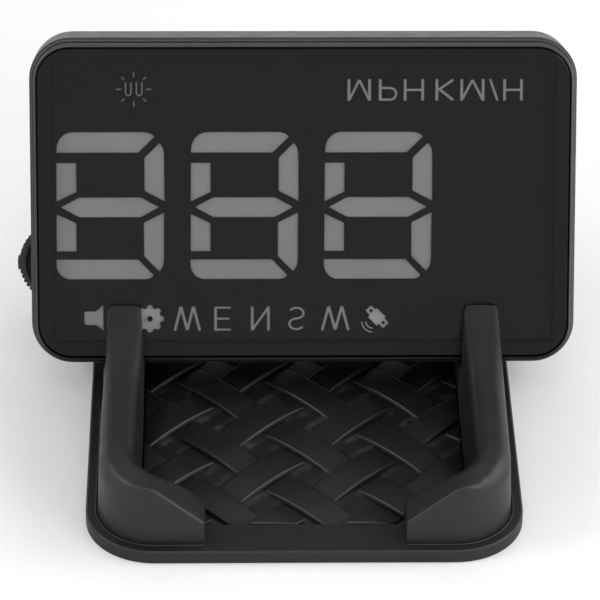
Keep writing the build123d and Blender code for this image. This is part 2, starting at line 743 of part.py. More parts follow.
# ---------------------------------------------------------------- screws
def screw_set(spots, shank_rear, shank_radius, shank_length,
              head_rear, head_radius, head_height, cross_span, cross_width, cross_depth):
    """Screws driven from behind, with cross-slotted heads."""
    with BuildPart() as screws:
        with BuildSketch(deep(shank_rear)):
            discs(shank_radius, *spots)
        extrude(amount=shank_length)
        with BuildSketch(deep(head_rear)):
            discs(head_radius, *spots)
        extrude(amount=head_height)
        with BuildSketch(deep(head_rear)):
            rects(cross_span, cross_width, *spots)
            rects(cross_width, cross_span, *spots)
        extrude(amount=cross_depth, mode=Mode.SUBTRACT)
    return screws.part


def pcb_screws():
    return screw_set(PCB_SCREWS, shank_rear=PCB_REAR, shank_radius=0.78, shank_length=3.8,
                     head_rear=PCB_REAR + 0.9, head_radius=1.5, head_height=0.9,
                     cross_span=1.6, cross_width=0.34, cross_depth=0.45)


def case_screws():
    shank_rear = UNIT_DEPTH - 1.60
    return screw_set(CASE_SCREWS, shank_rear=shank_rear, shank_radius=0.96,
                     shank_length=shank_rear - 4.0,
                     head_rear=UNIT_DEPTH - 0.45, head_radius=1.9, head_height=1.24,
                     cross_span=2.1, cross_width=0.42, cross_depth=0.7)


# ---------------------------------------------------------------- parts on the board's rear
def block(rear, thick, width, height, centre, radius=0):
    """Plain slab parallel to the glass."""
    with BuildPart() as slab:
        with BuildSketch(deep(rear)):
            rects(width, height, centre, radius=radius)
        extrude(amount=thick)
    return slab.part


def chip(centre, width, height, pin_pitch, pin_count):
    """Chip with a row of pins above and below."""
    body_thick, pin_thick = 0.95, 0.25
    with BuildPart() as package:
        with BuildSketch(deep(PCB_REAR + body_thick)):
            rects(width, height, centre)
        extrude(amount=body_thick)
        with BuildSketch(deep(PCB_REAR + pin_thick)):
            for side in (-1, 1):
                with Locations((centre[0], centre[1] + side * (height / 2 + 0.45))):
                    with GridLocations(pin_pitch, 1, pin_count, 1):
                        Rectangle(0.28, 1.1)
        extrude(amount=pin_thick)
    return package.part


def microcontroller():
    return chip((-26.0, 2.0), width=7.0, height=7.0, pin_pitch=0.6, pin_count=11)


def led_driver():
    return chip((-27.0, 12.5), width=7.6, height=4.0, pin_pitch=0.72, pin_count=10)


def power_parts():
    """One square part and nine small ones."""
    large, small = 2.0, 0.8      # standing heights
    small_spots = [(28.3, -9.5), (28.3, -6.5), (-19.0, 8.0), (-19.0, 5.0), (-19.0, -3.0),
                   (29.0, 20.0), (37.5, -20.5), (-12.0, 21.5), (-8.0, 21.5)]
    with BuildPart() as parts:
        with BuildSketch(deep(PCB_REAR + large)):
            rects(4.0, 4.0, (33.5, -18.5))
        extrude(amount=large)
        with BuildSketch(deep(PCB_REAR + small)):
            rects(1.6, 0.8, *small_spots)
        extrude(amount=small)
    return parts.part


def gps_antenna():
    centre = (36.5, 11.5)
    with BuildPart() as antenna:
        with BuildSketch(deep(PCB_REAR + 3.8)):
            rects(15.0, 15.0, centre)
        extrude(amount=3.8)
        # raised square patch and its feed pin
        with BuildSketch(deep(PCB_REAR + 4.0)):
            rects(11.5, 11.5, centre)
        extrude(amount=0.2)
        with BuildSketch(deep(PCB_REAR + 4.35)):
            discs(0.9, (centre[0] + 1.4, centre[1]))
        extrude(amount=0.35)
    return antenna.part


def gps_shield():
    height = 1.9
    with BuildPart() as shield:
        with BuildSketch(deep(PCB_REAR + height)):
            rects(12.0, 9.6, (37.0, -3.0))
        extrude(amount=height)
        fillet(shield.edges().filter_by(FACING), 0.5)
    return shield.part


def buzzer():
    height = 3.6
    with BuildPart() as sounder:
        with BuildSketch(deep(PCB_REAR + height)):
            discs(4.7, BUZZER)
        extrude(amount=height)
        with BuildSketch(deep(PCB_REAR + height)):
            discs(1.0, BUZZER)
        extrude(amount=1.2, mode=Mode.SUBTRACT)
    return sounder.part


def usb_c_port():
    mouth = port_plane(-0.2)
    with BuildPart() as port:
        with BuildSketch(mouth):
            RectangleRounded(8.94, 3.20, 1.55)
        extrude(amount=-7.3)
        with BuildSketch(mouth):
            RectangleRounded(8.34, 2.56, 1.25)
        extrude(amount=-6.2, mode=Mode.SUBTRACT)
        # tongue
        with BuildSketch(port_plane(-1.0)):
            RectangleRounded(6.69, 0.70, 0.2)
        extrude(amount=-6.0)
    return port.part


# ---------------------------------------------------------------- battery and solar panel
def wires(radius, routes, tangents):
    """Round wires swept along splines; tangents are the start and end directions."""
    with BuildPart() as leads:
        for route in routes:
            with BuildLine() as run:
                Spline(*[at(*point) for point in route], tangents=tangents)
            with BuildSketch(Plane(origin=run.line @ 0, z_dir=run.line % 0)):
                Circle(radius)
            sweep(path=run.line)
    return leads.part


def battery_cell():
    front, rear = 9.2, 13.28
    with BuildPart() as cell:
        with BuildSketch(deep(rear)):
            rects(44.0, 30.0, BATTERY, radius=1.5)
        extrude(amount=rear - front)
        fillet(rear_edges(cell) + front_edges(cell), 0.8)
    return cell.part


def battery_tape():
    return block(rear=13.78, thick=0.48, width=38, height=20, centre=BATTERY)


def battery_plug():
    return block(rear=PCB_REAR + 3.2, thick=3.2, width=6.0, height=4.0, centre=(20.0, 22.4))


def battery_leads():
    # x, y, depth from the cell to the plug
    routes = [
        [(8.0, 18.06, 11.2), (8.6, 21.5, 11.9), (12.0, 22.6, 11.0), (16.94, 23.2, 9.6)],
        [(10.0, 18.06, 11.2), (10.6, 20.6, 11.9), (13.6, 21.4, 11.0), (16.94, 21.6, 9.6)],
    ]
    return wires(0.45, routes, [FACE.y_dir, FACE.x_dir])


def panel_sheet(rear, thick):
    """Sheet that fills the solar recess."""
    return block(rear, thick, PANEL_WIDTH - 2 * PANEL_GAP, PANEL_HEIGHT - 2 * PANEL_GAP,
                 PANEL, PANEL_RADIUS - PANEL_GAP)


def solar_board():
    return panel_sheet(rear=15.25, thick=0.33)


def solar_cells():
    with BuildPart() as cells:
        with BuildSketch(deep(15.41)):
            with Locations(PANEL):
                with GridLocations(11.6, 1, 6, 1):
                    Rectangle(11.0, 26.0)
        extrude(amount=0.15)
    return cells.part


def solar_glass():
    return panel_sheet(rear=15.92, thick=0.50)


def solar_wires():
    # x, y, depth from the panel forward to the board
    routes = [[(x, 20.0, 14.90), (x, 20.2, 13.6), (x + 0.5, 20.9, 10.8), (x, 20.2, 7.72)]
              for x in (-29.0, -27.0)]
    return wires(0.42, routes, [FACE.z_dir, FACE.z_dir])


# ---------------------------------------------------------------- jog wheel set
def jog_base():
    with BuildPart() as base:
        with BuildSketch(deep(PCB_REAR + JOG_BASE_HEIGHT)):
            rects(6.2, SLIDER_HEIGHT + 4.0, JOG_BASE)
        extrude(amount=JOG_BASE_HEIGHT)
        # guide channel for the sliding carrier
        with BuildSketch(deep(PCB_REAR + JOG_BASE_HEIGHT)):
            rects(6.4, SLIDER_HEIGHT + 0.12, JOG_BASE)
        extrude(amount=0.62, mode=Mode.SUBTRACT)
    return base.part


def jog_slider():
    with BuildPart() as slider:
        with BuildSketch(deep(SLIDER_REAR)):
            rects(7.4, SLIDER_HEIGHT, (WHEEL[0] + 2.10, WHEEL[1]))
        extrude(amount=SLIDER_REAR - (PCB_REAR + 0.42))
        with BuildSketch(deep(SLIDER_REAR)):
            discs(AXLE_RADIUS, WHEEL)
        extrude(amount=CLEAR, mode=Mode.SUBTRACT)
    return slider.part


def jog_axle():
    front, rear = 8.2, 12.55
    with BuildPart() as axle:
        with BuildSketch(deep(rear)):
            discs(AXLE_RADIUS, WHEEL)
        extrude(amount=rear - front)
        # head
        with BuildSketch(deep(rear)):
            discs(1.3, WHEEL)
        extrude(amount=0.45)
    return axle.part


def wheel_rim():
    """Rim outline: a smooth thumb pad pointing left, then fine teeth all round."""
    rim = [polar((0, 0), THUMB_RADIUS, 180 + turn) for turn in (-10.5, -5, 0, 5, 10.5)]
    root = WHEEL_RADIUS - TOOTH_DEPTH
    # part of a tooth pitch, radius
    tooth = [(-0.30, WHEEL_RADIUS), (0.02, WHEEL_RADIUS), (0.28, root), (0.42, root)]
    for k in range(2, WHEEL_TEETH - 1):
        for part_pitch, radius in tooth:
            rim.append(polar((0, 0), radius, 180 + 360 / WHEEL_TEETH * (k + part_pitch)))
    return rim


def jog_wheel():
    with BuildPart() as wheel:
        with BuildSketch(deep(WHEEL_REAR)):
            with Locations(WHEEL):
                Polygon(*wheel_rim(), align=None)
        extrude(amount=WHEEL_REAR - WHEEL_FRONT)
        with BuildSketch(deep(WHEEL_REAR)):
            discs(AXLE_RADIUS + 0.05, WHEEL)
        extrude(amount=CLEAR, mode=Mode.SUBTRACT)
        # dished rear side
        with BuildSketch(deep(WHEEL_REAR)):
            discs(4.6, WHEEL)
            discs(1.6, WHEEL, mode=Mode.SUBTRACT)
        extrude(amount=0.5, mode=Mode.SUBTRACT)
    return wheel.part


# ---------------------------------------------------------------- export
# Each piece takes its name from the function that builds it.
PIECES = [
    base_pad, gel_sole, weave_mat, right_rail, left_rail,
    front_lens, lens_gasket, front_bezel, mid_frame, rear_cover,
    legend_mask, diffuser_sheet, light_box, main_pcb, segment_leds, light_sensor,
    pcb_screws, case_screws, microcontroller, led_driver, power_parts,
    gps_antenna, gps_shield, buzzer, usb_c_port,
    battery_cell, battery_tape, battery_plug, battery_leads,
    solar_board, solar_cells, solar_glass, solar_wires,
    jog_base, jog_slider, jog_axle, jog_wheel,
]

os.makedirs("parts", exist_ok=True)
for build_piece in PIECES:
    piece = build_piece()
    piece.label = build_piece.__name__
    export_step(piece, f"parts/{piece.label}.step")
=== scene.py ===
"""Desk unit with a smoked window, leaning back on a woven mat between two L-shaped rails.

X runs to the right, the front faces -Y and +Z is up. Shapes are worked out in millimetres and
scaled to metres as meshes are made. Places on the unit use (right, up, behind) on its glass.
"""
import bpy
import bmesh
import math
from mathutils import Matrix, Vector


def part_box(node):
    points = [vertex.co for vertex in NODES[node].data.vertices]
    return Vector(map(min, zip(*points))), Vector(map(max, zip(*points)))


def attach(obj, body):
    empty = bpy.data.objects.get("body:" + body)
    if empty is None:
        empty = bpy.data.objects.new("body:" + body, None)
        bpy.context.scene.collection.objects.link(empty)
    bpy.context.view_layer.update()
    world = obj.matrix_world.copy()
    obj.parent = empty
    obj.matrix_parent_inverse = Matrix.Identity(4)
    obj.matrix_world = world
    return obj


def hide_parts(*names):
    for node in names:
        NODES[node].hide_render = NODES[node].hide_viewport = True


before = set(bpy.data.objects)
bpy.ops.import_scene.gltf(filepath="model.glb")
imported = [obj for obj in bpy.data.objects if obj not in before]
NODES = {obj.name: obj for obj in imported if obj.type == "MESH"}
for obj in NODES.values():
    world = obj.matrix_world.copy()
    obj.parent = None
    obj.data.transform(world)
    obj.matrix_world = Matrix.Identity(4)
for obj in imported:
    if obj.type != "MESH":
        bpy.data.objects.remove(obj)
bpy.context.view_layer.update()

MM = 0.001

# ---------------------------------------------------------------- leaning unit
LEAN = math.radians(24.8)                  # tilt back from upright
UNIT_HEIGHT = 57.8
UNIT_THICKNESS = 16.0
GLASS_FOOT = Vector((0.33, 1.86, 9.60))    # bottom centre of the glass
GLASS_RIGHT = Vector((1.0, 0.0, 0.0))
GLASS_UP = Vector((0.0, math.sin(LEAN), math.cos(LEAN)))
GLASS_OUT = Vector((0.0, -math.cos(LEAN), math.sin(LEAN)))
FOOT_LEVEL = GLASS_UP.dot(GLASS_FOOT)      # the foot's distance along the glass's up axis


def on_unit(right, up, behind):
    """Point in mm, measured from the bottom centre of the glass."""
    return GLASS_FOOT + GLASS_RIGHT * right + GLASS_UP * up - GLASS_OUT * behind


# ------------------------------------------------------------------ curve tools
def smooth01(t):
    """Ease from 0 to 1."""
    t = min(1.0, max(0.0, t))
    return t * t * (3 - 2 * t)


def ramp_to(x, table):
    """Eased value at x from (position, value) pairs."""
    if x <= table[0][0]:
        return table[0][1]
    for (x0, v0), (x1, v1) in zip(table, table[1:]):
        if x <= x1:
            return v0 + (v1 - v0) * smooth01((x - x0) / (x1 - x0))
    return table[-1][1]


def round_off(distance, radius):
    """Drop of a quarter-round edge at a distance in from its side."""
    if distance >= radius:
        return 0.0
    return radius - math.sqrt(max(0.0, radius * radius - (radius - distance) ** 2))


# ------------------------------------------------------------------- mesh tools
def link_object(name, data):
    ob = bpy.data.objects.new(name, data)
    bpy.context.scene.collection.objects.link(ob)
    return ob


def new_object(name, verts, faces):
    """Smooth mesh object from millimetre vertices."""
    mesh = bpy.data.meshes.new(name)
    mesh.from_pydata([tuple(c * MM for c in v) for v in verts], [], faces)
    mesh.validate()
    mesh.update()
    ob = link_object(name, mesh)
    bm = bmesh.new()
    bm.from_mesh(mesh)
    bmesh.ops.recalc_face_normals(bm, faces=bm.faces)
    bm.to_mesh(mesh)
    bm.free()
    for face in mesh.polygons:
        face.use_smooth = True
    return ob


def loft_faces(ring_count, ring_size, closed=False):
    """Quads between successive closed rings; closed also joins the last ring to the first."""
    faces = []
    for j in range(ring_count if closed else ring_count - 1):
        k = (j + 1) % ring_count
        for i in range(ring_size):
            q = (i + 1) % ring_size
            faces.append([j * ring_size + i, j * ring_size + q,
                          k * ring_size + q, k * ring_size + i])
    return faces


def bevel_edges(ob, width, segments, min_angle):
    """Round the edges sharper than min_angle degrees; the bevel is applied to the mesh."""
    bevel = ob.modifiers.new("round", "BEVEL")
    bevel.width = width * MM
    bevel.segments = segments
    bevel.limit_method = "ANGLE"
    bevel.angle_limit = math.radians(min_angle)
    depsgraph = bpy.context.evaluated_depsgraph_get()
    mesh = bpy.data.meshes.new_from_object(ob.evaluated_get(depsgraph))
    ob.modifiers.clear()
    plain = ob.data
    ob.data = mesh
    mesh.name = ob.name
    bpy.data.meshes.remove(plain)


def sharp_by_angle(ob, degrees):
    """Smooth shading with edges sharper than the angle kept crisp."""
    mesh = ob.data
    for face in mesh.polygons:
        face.use_smooth = True
    bm = bmesh.new()
    bm.from_mesh(mesh)
    for edge in bm.edges:
        if len(edge.link_faces) == 2:
            edge.smooth = edge.calc_face_angle(0.0) < math.radians(degrees)
    bm.to_mesh(mesh)
    bm.free()


def assign(ob, material):
    ob.data.materials.clear()
    ob.data.materials.append(material)


# ----------------------------------------------------------------- shader tools
def grey(value):
    return (value, value, value, 1.0)


def opaque(rgb):
    return tuple(rgb) + (1.0,)


class ShaderTree:
    """Short calls for building a node tree. A socket passed as an input is linked."""

    def __init__(self, owner):
        self.tree = owner.node_tree
        self.coords = self.node("ShaderNodeTexCoord").outputs

    def fill(self, node, inputs):
        for key, value in inputs.items():
            if isinstance(value, bpy.types.NodeSocket):
                self.tree.links.new(value, node.inputs[key])
            else:
                node.inputs[key].default_value = value

    def node(self, kind, inputs=None, **settings):
        node = self.tree.nodes.new(kind)
        for key, value in settings.items():
            setattr(node, key, value)
        self.fill(node, inputs or {})
        return node

    def principled(self, inputs):
        self.fill(self.tree.nodes["Principled BSDF"], inputs)

    def noise(self, scale, detail, roughness=0.5, vector=None, output="Fac"):
        return self.node("ShaderNodeTexNoise", {
            "Vector": vector or self.coords["Object"], "Scale": scale, "Detail": detail,
            "Roughness": roughness}).outputs[output]

    def voronoi(self, scale):
        return self.node("ShaderNodeTexVoronoi", {
            "Vector": self.coords["Object"], "Scale": scale}).outputs["Distance"]

    def math(self, operation, *values):
        return self.node("ShaderNodeMath", dict(enumerate(values)), operation=operation).outputs[0]

    def map_range(self, value, source=(0.0, 1.0), target=(0.0, 1.0), **settings):
        return self.node("ShaderNodeMapRange", {
            "Value": value, "From Min": source[0], "From Max": source[1],
            "To Min": target[0], "To Max": target[1]}, **settings).outputs["Result"]

    def mix(self, fac, color1, color2, blend="MIX"):
        return self.node("ShaderNodeMixRGB", {
            "Fac": fac, "Color1": color1, "Color2": color2}, blend_type=blend).outputs["Color"]

    def mix_shader(self, fac, first, second):
        return self.node("ShaderNodeMixShader", {
            "Fac": fac, 1: first, 2: second}).outputs["Shader"]

    def grey(self, value):
        return self.node("ShaderNodeCombineColor", {k: value for k in range(3)}).outputs["Color"]

    def split(self):
        return self.node("ShaderNodeSeparateXYZ", {"Vector": self.coords["Object"]}).outputs

    def dot(self, vector, axis):
        return self.node("ShaderNodeVectorMath", {0: vector, 1: tuple(axis)},
                         operation="DOT_PRODUCT").outputs["Value"]

    def distance_along(self, axis, centre):
        """Distance to either side of a place on an axis, in metres."""
        offset = self.math("SUBTRACT", self.dot(self.coords["Object"], axis), centre)
        return self.math("ABSOLUTE", offset)

    def bump(self, height, strength, distance):
        return self.node("ShaderNodeBump", {
            "Height": height, "Strength": strength, "Distance": distance}).outputs["Normal"]


def new_material(name):
    material = bpy.data.materials.new(name)
    material.use_nodes = True
    return material, ShaderTree(material)


# ----------------------------------------------------------------- plastic layers
def worn_and_highlit_edges(tree, colour, base, speckle, wear_and_highlight, wear_and_highlight_tint):
    """Paler tone on convex edges, broken up by noise: real wear, and where strongly set, as on the
    woven mat, a painted highlight.
    """
    pointiness = tree.node("ShaderNodeNewGeometry").outputs["Pointiness"]
    edge = tree.map_range(pointiness, source=(0.515, 0.60))
    patches = tree.map_range(speckle, source=(0.42, 0.66))
    amount = tree.math("MULTIPLY", tree.math("MULTIPLY", edge, patches), wear_and_highlight)
    return tree.mix(amount, colour, opaque(min(1.0, c * wear_and_highlight_tint) for c in base))


def paint_light_along_y(tree, colour, stops):
    """Painted light and shade: scale the tone through (y in mm, factor) stops."""
    first_y, last_y = stops[0][0], stops[-1][0]
    top = max(factor for _, factor in stops)
    place = tree.map_range(tree.split()["Y"], source=(first_y * MM, last_y * MM))
    ramp = tree.node("ShaderNodeValToRGB", {"Fac": place})
    elements = ramp.color_ramp.elements
    while len(elements) < len(stops):
        elements.new(0.5)
    for element, (y, factor) in zip(elements, stops):
        element.position = (y - first_y) / (last_y - first_y)
        element.color = grey(factor / top)
    painted_light_colour = tree.mix(1.0, colour, ramp.outputs["Color"], blend="MULTIPLY")
    # a ramp holds colours up to 1, so its scale is restored afterwards
    return tree.node("ShaderNodeVectorMath", {0: painted_light_colour, "Scale": top},
                     operation="SCALE").outputs["Vector"]


def paint_front_highlight(tree, normal, colour, painted_highlight):
    """Painted highlight: paler where the surface turns towards the front, standing in for the
    reflection of the front lights.
    """
    facing = tree.map_range(tree.dot(normal, (0.0, -1.0, 0.0)), source=(0.22, 0.62))
    return tree.mix(facing, colour, grey(painted_highlight))


def lower_edge_painted_shade(tree, colour, amount):
    """Painted shade along the unit's lower edge, which turns down away from the light; also
    returns the unshaded share.
    """
    start, end = 0.0006, 0.0060    # metres up the glass
    foot = FOOT_LEVEL * MM
    unshaded_share = tree.map_range(tree.dot(tree.coords["Object"], GLASS_UP),
                           source=(foot + start, foot + end), target=(1.0 - amount, 1.0))
    return tree.mix(unshaded_share, grey(0.001), colour), unshaded_share


def corner_painted_shade(tree, colour, base, reach):
    """Painted shade in corners and grooves, from ambient occlusion; also returns the open share.
    """
    occlusion = tree.node("ShaderNodeAmbientOcclusion", {"Distance": reach}, samples=4)
    openness = tree.math("POWER", occlusion.outputs["AO"], 1.6)
    return tree.mix(openness, opaque(c * 0.15 for c in base), colour), openness


def plastic(name, base, rough, grain=900.0, bump=0.05, mottled=0.10, wear_and_highlight=0.35, wear_and_highlight_tint=1.9,
            spec=0.5, shade_reach=0.0, low_painted_shade=0.0, front_painted_highlight=0.0, painted_light_by_y=None):
    """Moulded polymer: fine grain, slow tone drift, rubbed edges with a painted highlight where
    strongly set, painted light and shade where asked, and uneven gloss.

    grain is a texture scale, mottled the tone swing, and the reach of the painted corner shade is
    given in metres.
    """
    material, tree = new_material(name)
    fine = tree.noise(scale=grain, detail=4.0, roughness=0.62)
    cells = tree.voronoi(scale=grain * 1.35)
    slow = tree.noise(scale=55.0, detail=5.0, roughness=0.55)
    speckle = tree.noise(scale=260.0, detail=6.0, roughness=0.6)

    drift = tree.map_range(slow, source=(0.3, 0.7), target=(1.0 - mottled, 1.0 + mottled))
    colour = tree.mix(1.0, opaque(base), tree.grey(drift), blend="MULTIPLY")
    colour = worn_and_highlit_edges(tree, colour, base, speckle, wear_and_highlight, wear_and_highlight_tint)
    # painted light and shade along Y
    if painted_light_by_y:
        colour = paint_light_along_y(tree, colour, painted_light_by_y)
    # painted highlight on surfaces that face the front
    if front_painted_highlight:
        normal = tree.node("ShaderNodeNewGeometry").outputs["Normal"]
        colour = paint_front_highlight(tree, normal, colour, front_painted_highlight)
    unshaded_share = None
    # painted shade along the unit's lower edge
    if low_painted_shade:
        colour, unshaded_share = lower_edge_painted_shade(tree, colour, low_painted_shade)
    tree.principled({"Specular IOR Level": spec})
    # painted shade in corners, which also dims the gloss there
    if shade_reach:
        colour, openness = corner_painted_shade(tree, colour, base, shade_reach)
        level = tree.math("MULTIPLY", openness, spec)
        if unshaded_share:
            level = tree.math("MULTIPLY", level, unshaded_share)
        tree.principled({"Specular IOR Level": level})

    gloss_swing = 0.08
    roughness = tree.map_range(
        speckle, source=(0.25, 0.75),
        target=(max(0.05, rough - gloss_swing), min(1.0, rough + gloss_swing)))
    height = tree.mix(0.5, fine, cells)
    tree.principled({
        "Base Color": colour,
        "Roughness": roughness,
        "Normal": tree.bump(height, strength=bump, distance=0.0002)})
    return material


# --------------------------------------------------------------- other materials
def diffuser():
    """Opal sheet with painted shade across the band of large digits, which are darkened to match
    the less lit narrow letters.
    """
    band_low, band_high, edge, factor = 12.0, 42.5, 0.6, 0.70    # mm up the glass; tone factor
    material = plastic("diffuser_opal", (0.86, 0.86, 0.86), rough=0.65, bump=0.0, mottled=0.02,
                       wear_and_highlight=0.0, spec=0.1)
    tree = ShaderTree(material)
    surface = tree.tree.nodes["Principled BSDF"]
    plain = surface.inputs["Base Color"].links[0].from_socket
    middle = (FOOT_LEVEL + (band_low + band_high) / 2) * MM
    half = (band_high - band_low) / 2 * MM
    # painted shade: the band of large digits is darkened
    tint = tree.map_range(tree.distance_along(GLASS_UP, middle),
                          source=(half - edge * MM, half + edge * MM), target=(factor, 1.0))
    tree.principled({"Base Color": tree.mix(1.0, plain, tree.grey(tint), blend="MULTIPLY")})
    return material


def metal(name, base, rough, scratch=1.0):
    """Metal with a fine grain squeezed along Y."""
    material, tree = new_material(name)
    squeezed = tree.node("ShaderNodeMapping", {
        "Vector": tree.coords["Object"], "Scale": (1.0, 14.0, 1.0)}).outputs["Vector"]
    scratches = tree.noise(scale=500.0, detail=6.0, roughness=0.65, vector=squeezed)
    clouds = tree.noise(scale=180.0, detail=4.0)
    tone = tree.grey(tree.map_range(clouds, target=(0.82, 1.08)))
    tree.principled({
        "Base Color": tree.mix(1.0, opaque(base), tone, blend="MULTIPLY"),
        "Metallic": 1.0,
        "Roughness": tree.map_range(scratches, target=(max(0.05, rough - 0.1), rough + 0.14)),
        "Normal": tree.bump(scratches, strength=0.08 * scratch, distance=0.0001)})
    return material


def inked_border(tree, window, half_width, half_height, tone):
    """Matt ink around a clear rectangle on the glass; sizes in mm."""
    fade = 0.6
    centre = on_unit(0, UNIT_HEIGHT / 2, 0) * MM
    past = []
    for axis, half in ((GLASS_RIGHT, half_width), (GLASS_UP, half_height)):
        away = tree.distance_along(axis, axis.dot(centre))
        past.append(tree.math("SUBTRACT", away, half * MM))
    inked = tree.map_range(tree.math("MAXIMUM", *past), source=(-fade * MM, 0.0))
    ink = tree.node("ShaderNodeBsdfDiffuse", {"Color": grey(tone)}).outputs["BSDF"]
    return tree.mix_shader(inked, window, ink)


def smoked_glass(name, tint, gloss_rough, reflect=1.0, border=None):
    """Tinted see-through window with a polished reflection; border holds inked_border's sizes."""
    material, tree = new_material(name)
    nodes = tree.tree.nodes
    nodes.remove(nodes["Principled BSDF"])
    smear = tree.noise(scale=26.0, detail=5.0, roughness=0.55)
    smoke = tree.grey(tree.map_range(smear, target=(tint * 0.985, tint * 1.015)))
    body = tree.node("ShaderNodeBsdfTransparent", {"Color": smoke}).outputs["BSDF"]
    if border:
        body = inked_border(tree, body, **border)
    gloss = tree.node("ShaderNodeBsdfGlossy", {
        "Color": grey(1.0),
        "Roughness": tree.map_range(smear, target=(gloss_rough * 0.8, gloss_rough * 1.25))})
    fresnel = tree.node("ShaderNodeFresnel", {"IOR": 1.49}).outputs["Fac"]
    amount = tree.math("MULTIPLY", fresnel, reflect)
    surface = tree.mix_shader(amount, body, gloss.outputs["BSDF"])
    tree.fill(nodes["Material Output"], {"Surface": surface})
    return material


def circuit_board(name):
    """Green lacquer with a fine brick-like trace pattern."""
    material, tree = new_material(name)
    traces = tree.node("ShaderNodeTexBrick", {
        "Vector": tree.coords["Object"],
        "Scale": 260.0,
        "Color1": (0.010, 0.085, 0.035, 1),
        "Color2": (0.014, 0.11, 0.045, 1),
        "Mortar": (0.02, 0.16, 0.065, 1),
        "Mortar Size": 0.05}).outputs
    clouds = tree.noise(scale=150.0, detail=5.0, output="Color")
    tree.principled({
        "Base Color": tree.mix(0.25, traces["Color"], clouds, blend="OVERLAY"),
        "Roughness": 0.34,
        "Normal": tree.bump(traces["Fac"], strength=0.1, distance=0.0001)})
    return material


def solar_cell(name):
    """Dark mottled silicon under a grid of silver lines."""
    material, tree = new_material(name)
    place = tree.split()

    def stripes(axis, pitch, share):
        """Lines a pitch apart in metres, each filling a share of it."""
        phase = tree.math("FRACT", tree.math("DIVIDE", place[axis], pitch))
        return tree.math("LESS_THAN", phase, share)

    silver = tree.math("MAXIMUM", stripes("Z", pitch=0.0011, share=0.11),
                       stripes("X", pitch=0.0058, share=0.09))
    silicon = tree.mix(tree.voronoi(scale=320.0), (0.006, 0.009, 0.028, 1),
                       (0.014, 0.022, 0.062, 1))
    tree.principled({
        "Base Color": tree.mix(silver, silicon, (0.20, 0.21, 0.23, 1)),
        "Roughness": 0.28,
        "Normal": tree.bump(silver, strength=0.12, distance=0.00005)})
    return material


# painted light and shade along a rail, (y in mm, tone factor) from the front of a rail to its tip;
# the tip is lightened most, where the glass shades it
RAIL_PAINTED_LIGHT = ((-41.0, 1.35), (-34.0, 1.35), (-29.0, 0.62), (-18.0, 0.9), (-6.0, 1.9), (6.0, 3.0))

MATERIALS = {
    "pad": plastic("pad_rubber", (0.0046, 0.0046, 0.0047), rough=0.56, grain=1500, bump=0.10,
                   wear_and_highlight=0.4, spec=0.38),
    # mat: its paler edges and front-facing slopes are painted highlights, and its hollows get
    # painted shade
    "mat": plastic("mat_rubber", (0.0076, 0.0076, 0.0078), rough=0.42, grain=1700, bump=0.09,
                   wear_and_highlight=0.9, wear_and_highlight_tint=5.0, spec=0.46, front_painted_highlight=0.044, shade_reach=0.0055),
    "sole": plastic("sole_gel", (0.05, 0.05, 0.052), rough=0.35, grain=700, bump=0.10),
    # rail: painted light and shade along its length
    "rail": plastic("rail_rubber", (0.0064, 0.0064, 0.0065), rough=0.44, grain=2000, bump=0.07,
                    wear_and_highlight=0.30, mottled=0.16, spec=0.34, painted_light_by_y=RAIL_PAINTED_LIGHT),
    # bezel and trim: painted shade along the unit's lower edge and in corners
    "bezel": plastic("bezel_black", (0.014, 0.014, 0.0142), rough=0.34, grain=2200, bump=0.04,
                     wear_and_highlight=0.0, shade_reach=0.0016, low_painted_shade=0.8),
    "trim": plastic("trim_black", (0.026, 0.026, 0.0264), rough=0.32, grain=2200, bump=0.04,
                    wear_and_highlight=0.0, shade_reach=0.0016, low_painted_shade=0.8),
    "cover": plastic("cover_black", (0.018, 0.018, 0.0183), rough=0.46, grain=1300, bump=0.14,
                     wear_and_highlight=0.3, spec=0.42),
    "adhesive": plastic("adhesive_black", (0.004, 0.004, 0.004), rough=0.7),
    "mask": plastic("mask_ink", (0.0050, 0.0050, 0.0051), rough=0.75, bump=0.0, mottled=0.05,
                    wear_and_highlight=0.0, spec=0.0),
    "diffuser": diffuser(),
    "reflector": plastic("reflector_white", (0.80, 0.80, 0.79), rough=0.5, mottled=0.04,
                         wear_and_highlight_tint=1.1),
    "pcb": circuit_board("pcb_green"),
    "led": plastic("led_phosphor", (0.80, 0.72, 0.30), rough=0.3, mottled=0.06, wear_and_highlight_tint=1.2),
    "chip": plastic("chip_epoxy", (0.020, 0.020, 0.021), rough=0.55, grain=2600, bump=0.2),
    "steel": metal("screw_steel", (0.42, 0.42, 0.43), rough=0.34),
    "nickel": metal("nickel_shell", (0.62, 0.61, 0.59), rough=0.28),
    "ceramic": plastic("antenna_ceramic", (0.66, 0.62, 0.50), rough=0.6, mottled=0.08),
    "battery": metal("battery_foil", (0.62, 0.63, 0.65), rough=0.42, scratch=2.0),
    "foam": plastic("foam_tape", (0.06, 0.06, 0.06), rough=0.95, grain=500, bump=0.8),
    "wire": plastic("wire_silicone", (0.36, 0.02, 0.02), rough=0.45),
    "plug": plastic("plug_nylon", (0.72, 0.71, 0.66), rough=0.45, wear_and_highlight_tint=1.1),
    "solar": solar_cell("solar_cell"),
    "solar_back": plastic("solar_laminate", (0.012, 0.012, 0.014), rough=0.5),
    "solar_glass": smoked_glass("solar_clear", tint=0.86, gloss_rough=0.07),
    # wheel: painted shade between the teeth
    "wheel": plastic("wheel_rubber", (0.0050, 0.0050, 0.0051), rough=0.6, grain=1600, bump=0.12,
                     wear_and_highlight=0.5, wear_and_highlight_tint=3.0, shade_reach=0.0008),
    "jog": plastic("jog_acetal", (0.10, 0.10, 0.10), rough=0.4),
    "lens": smoked_glass("lens_smoke", tint=0.70, gloss_rough=0.14, reflect=0.28,
                         border=dict(half_width=44.2, half_height=25.05, tone=0.0046)),
}

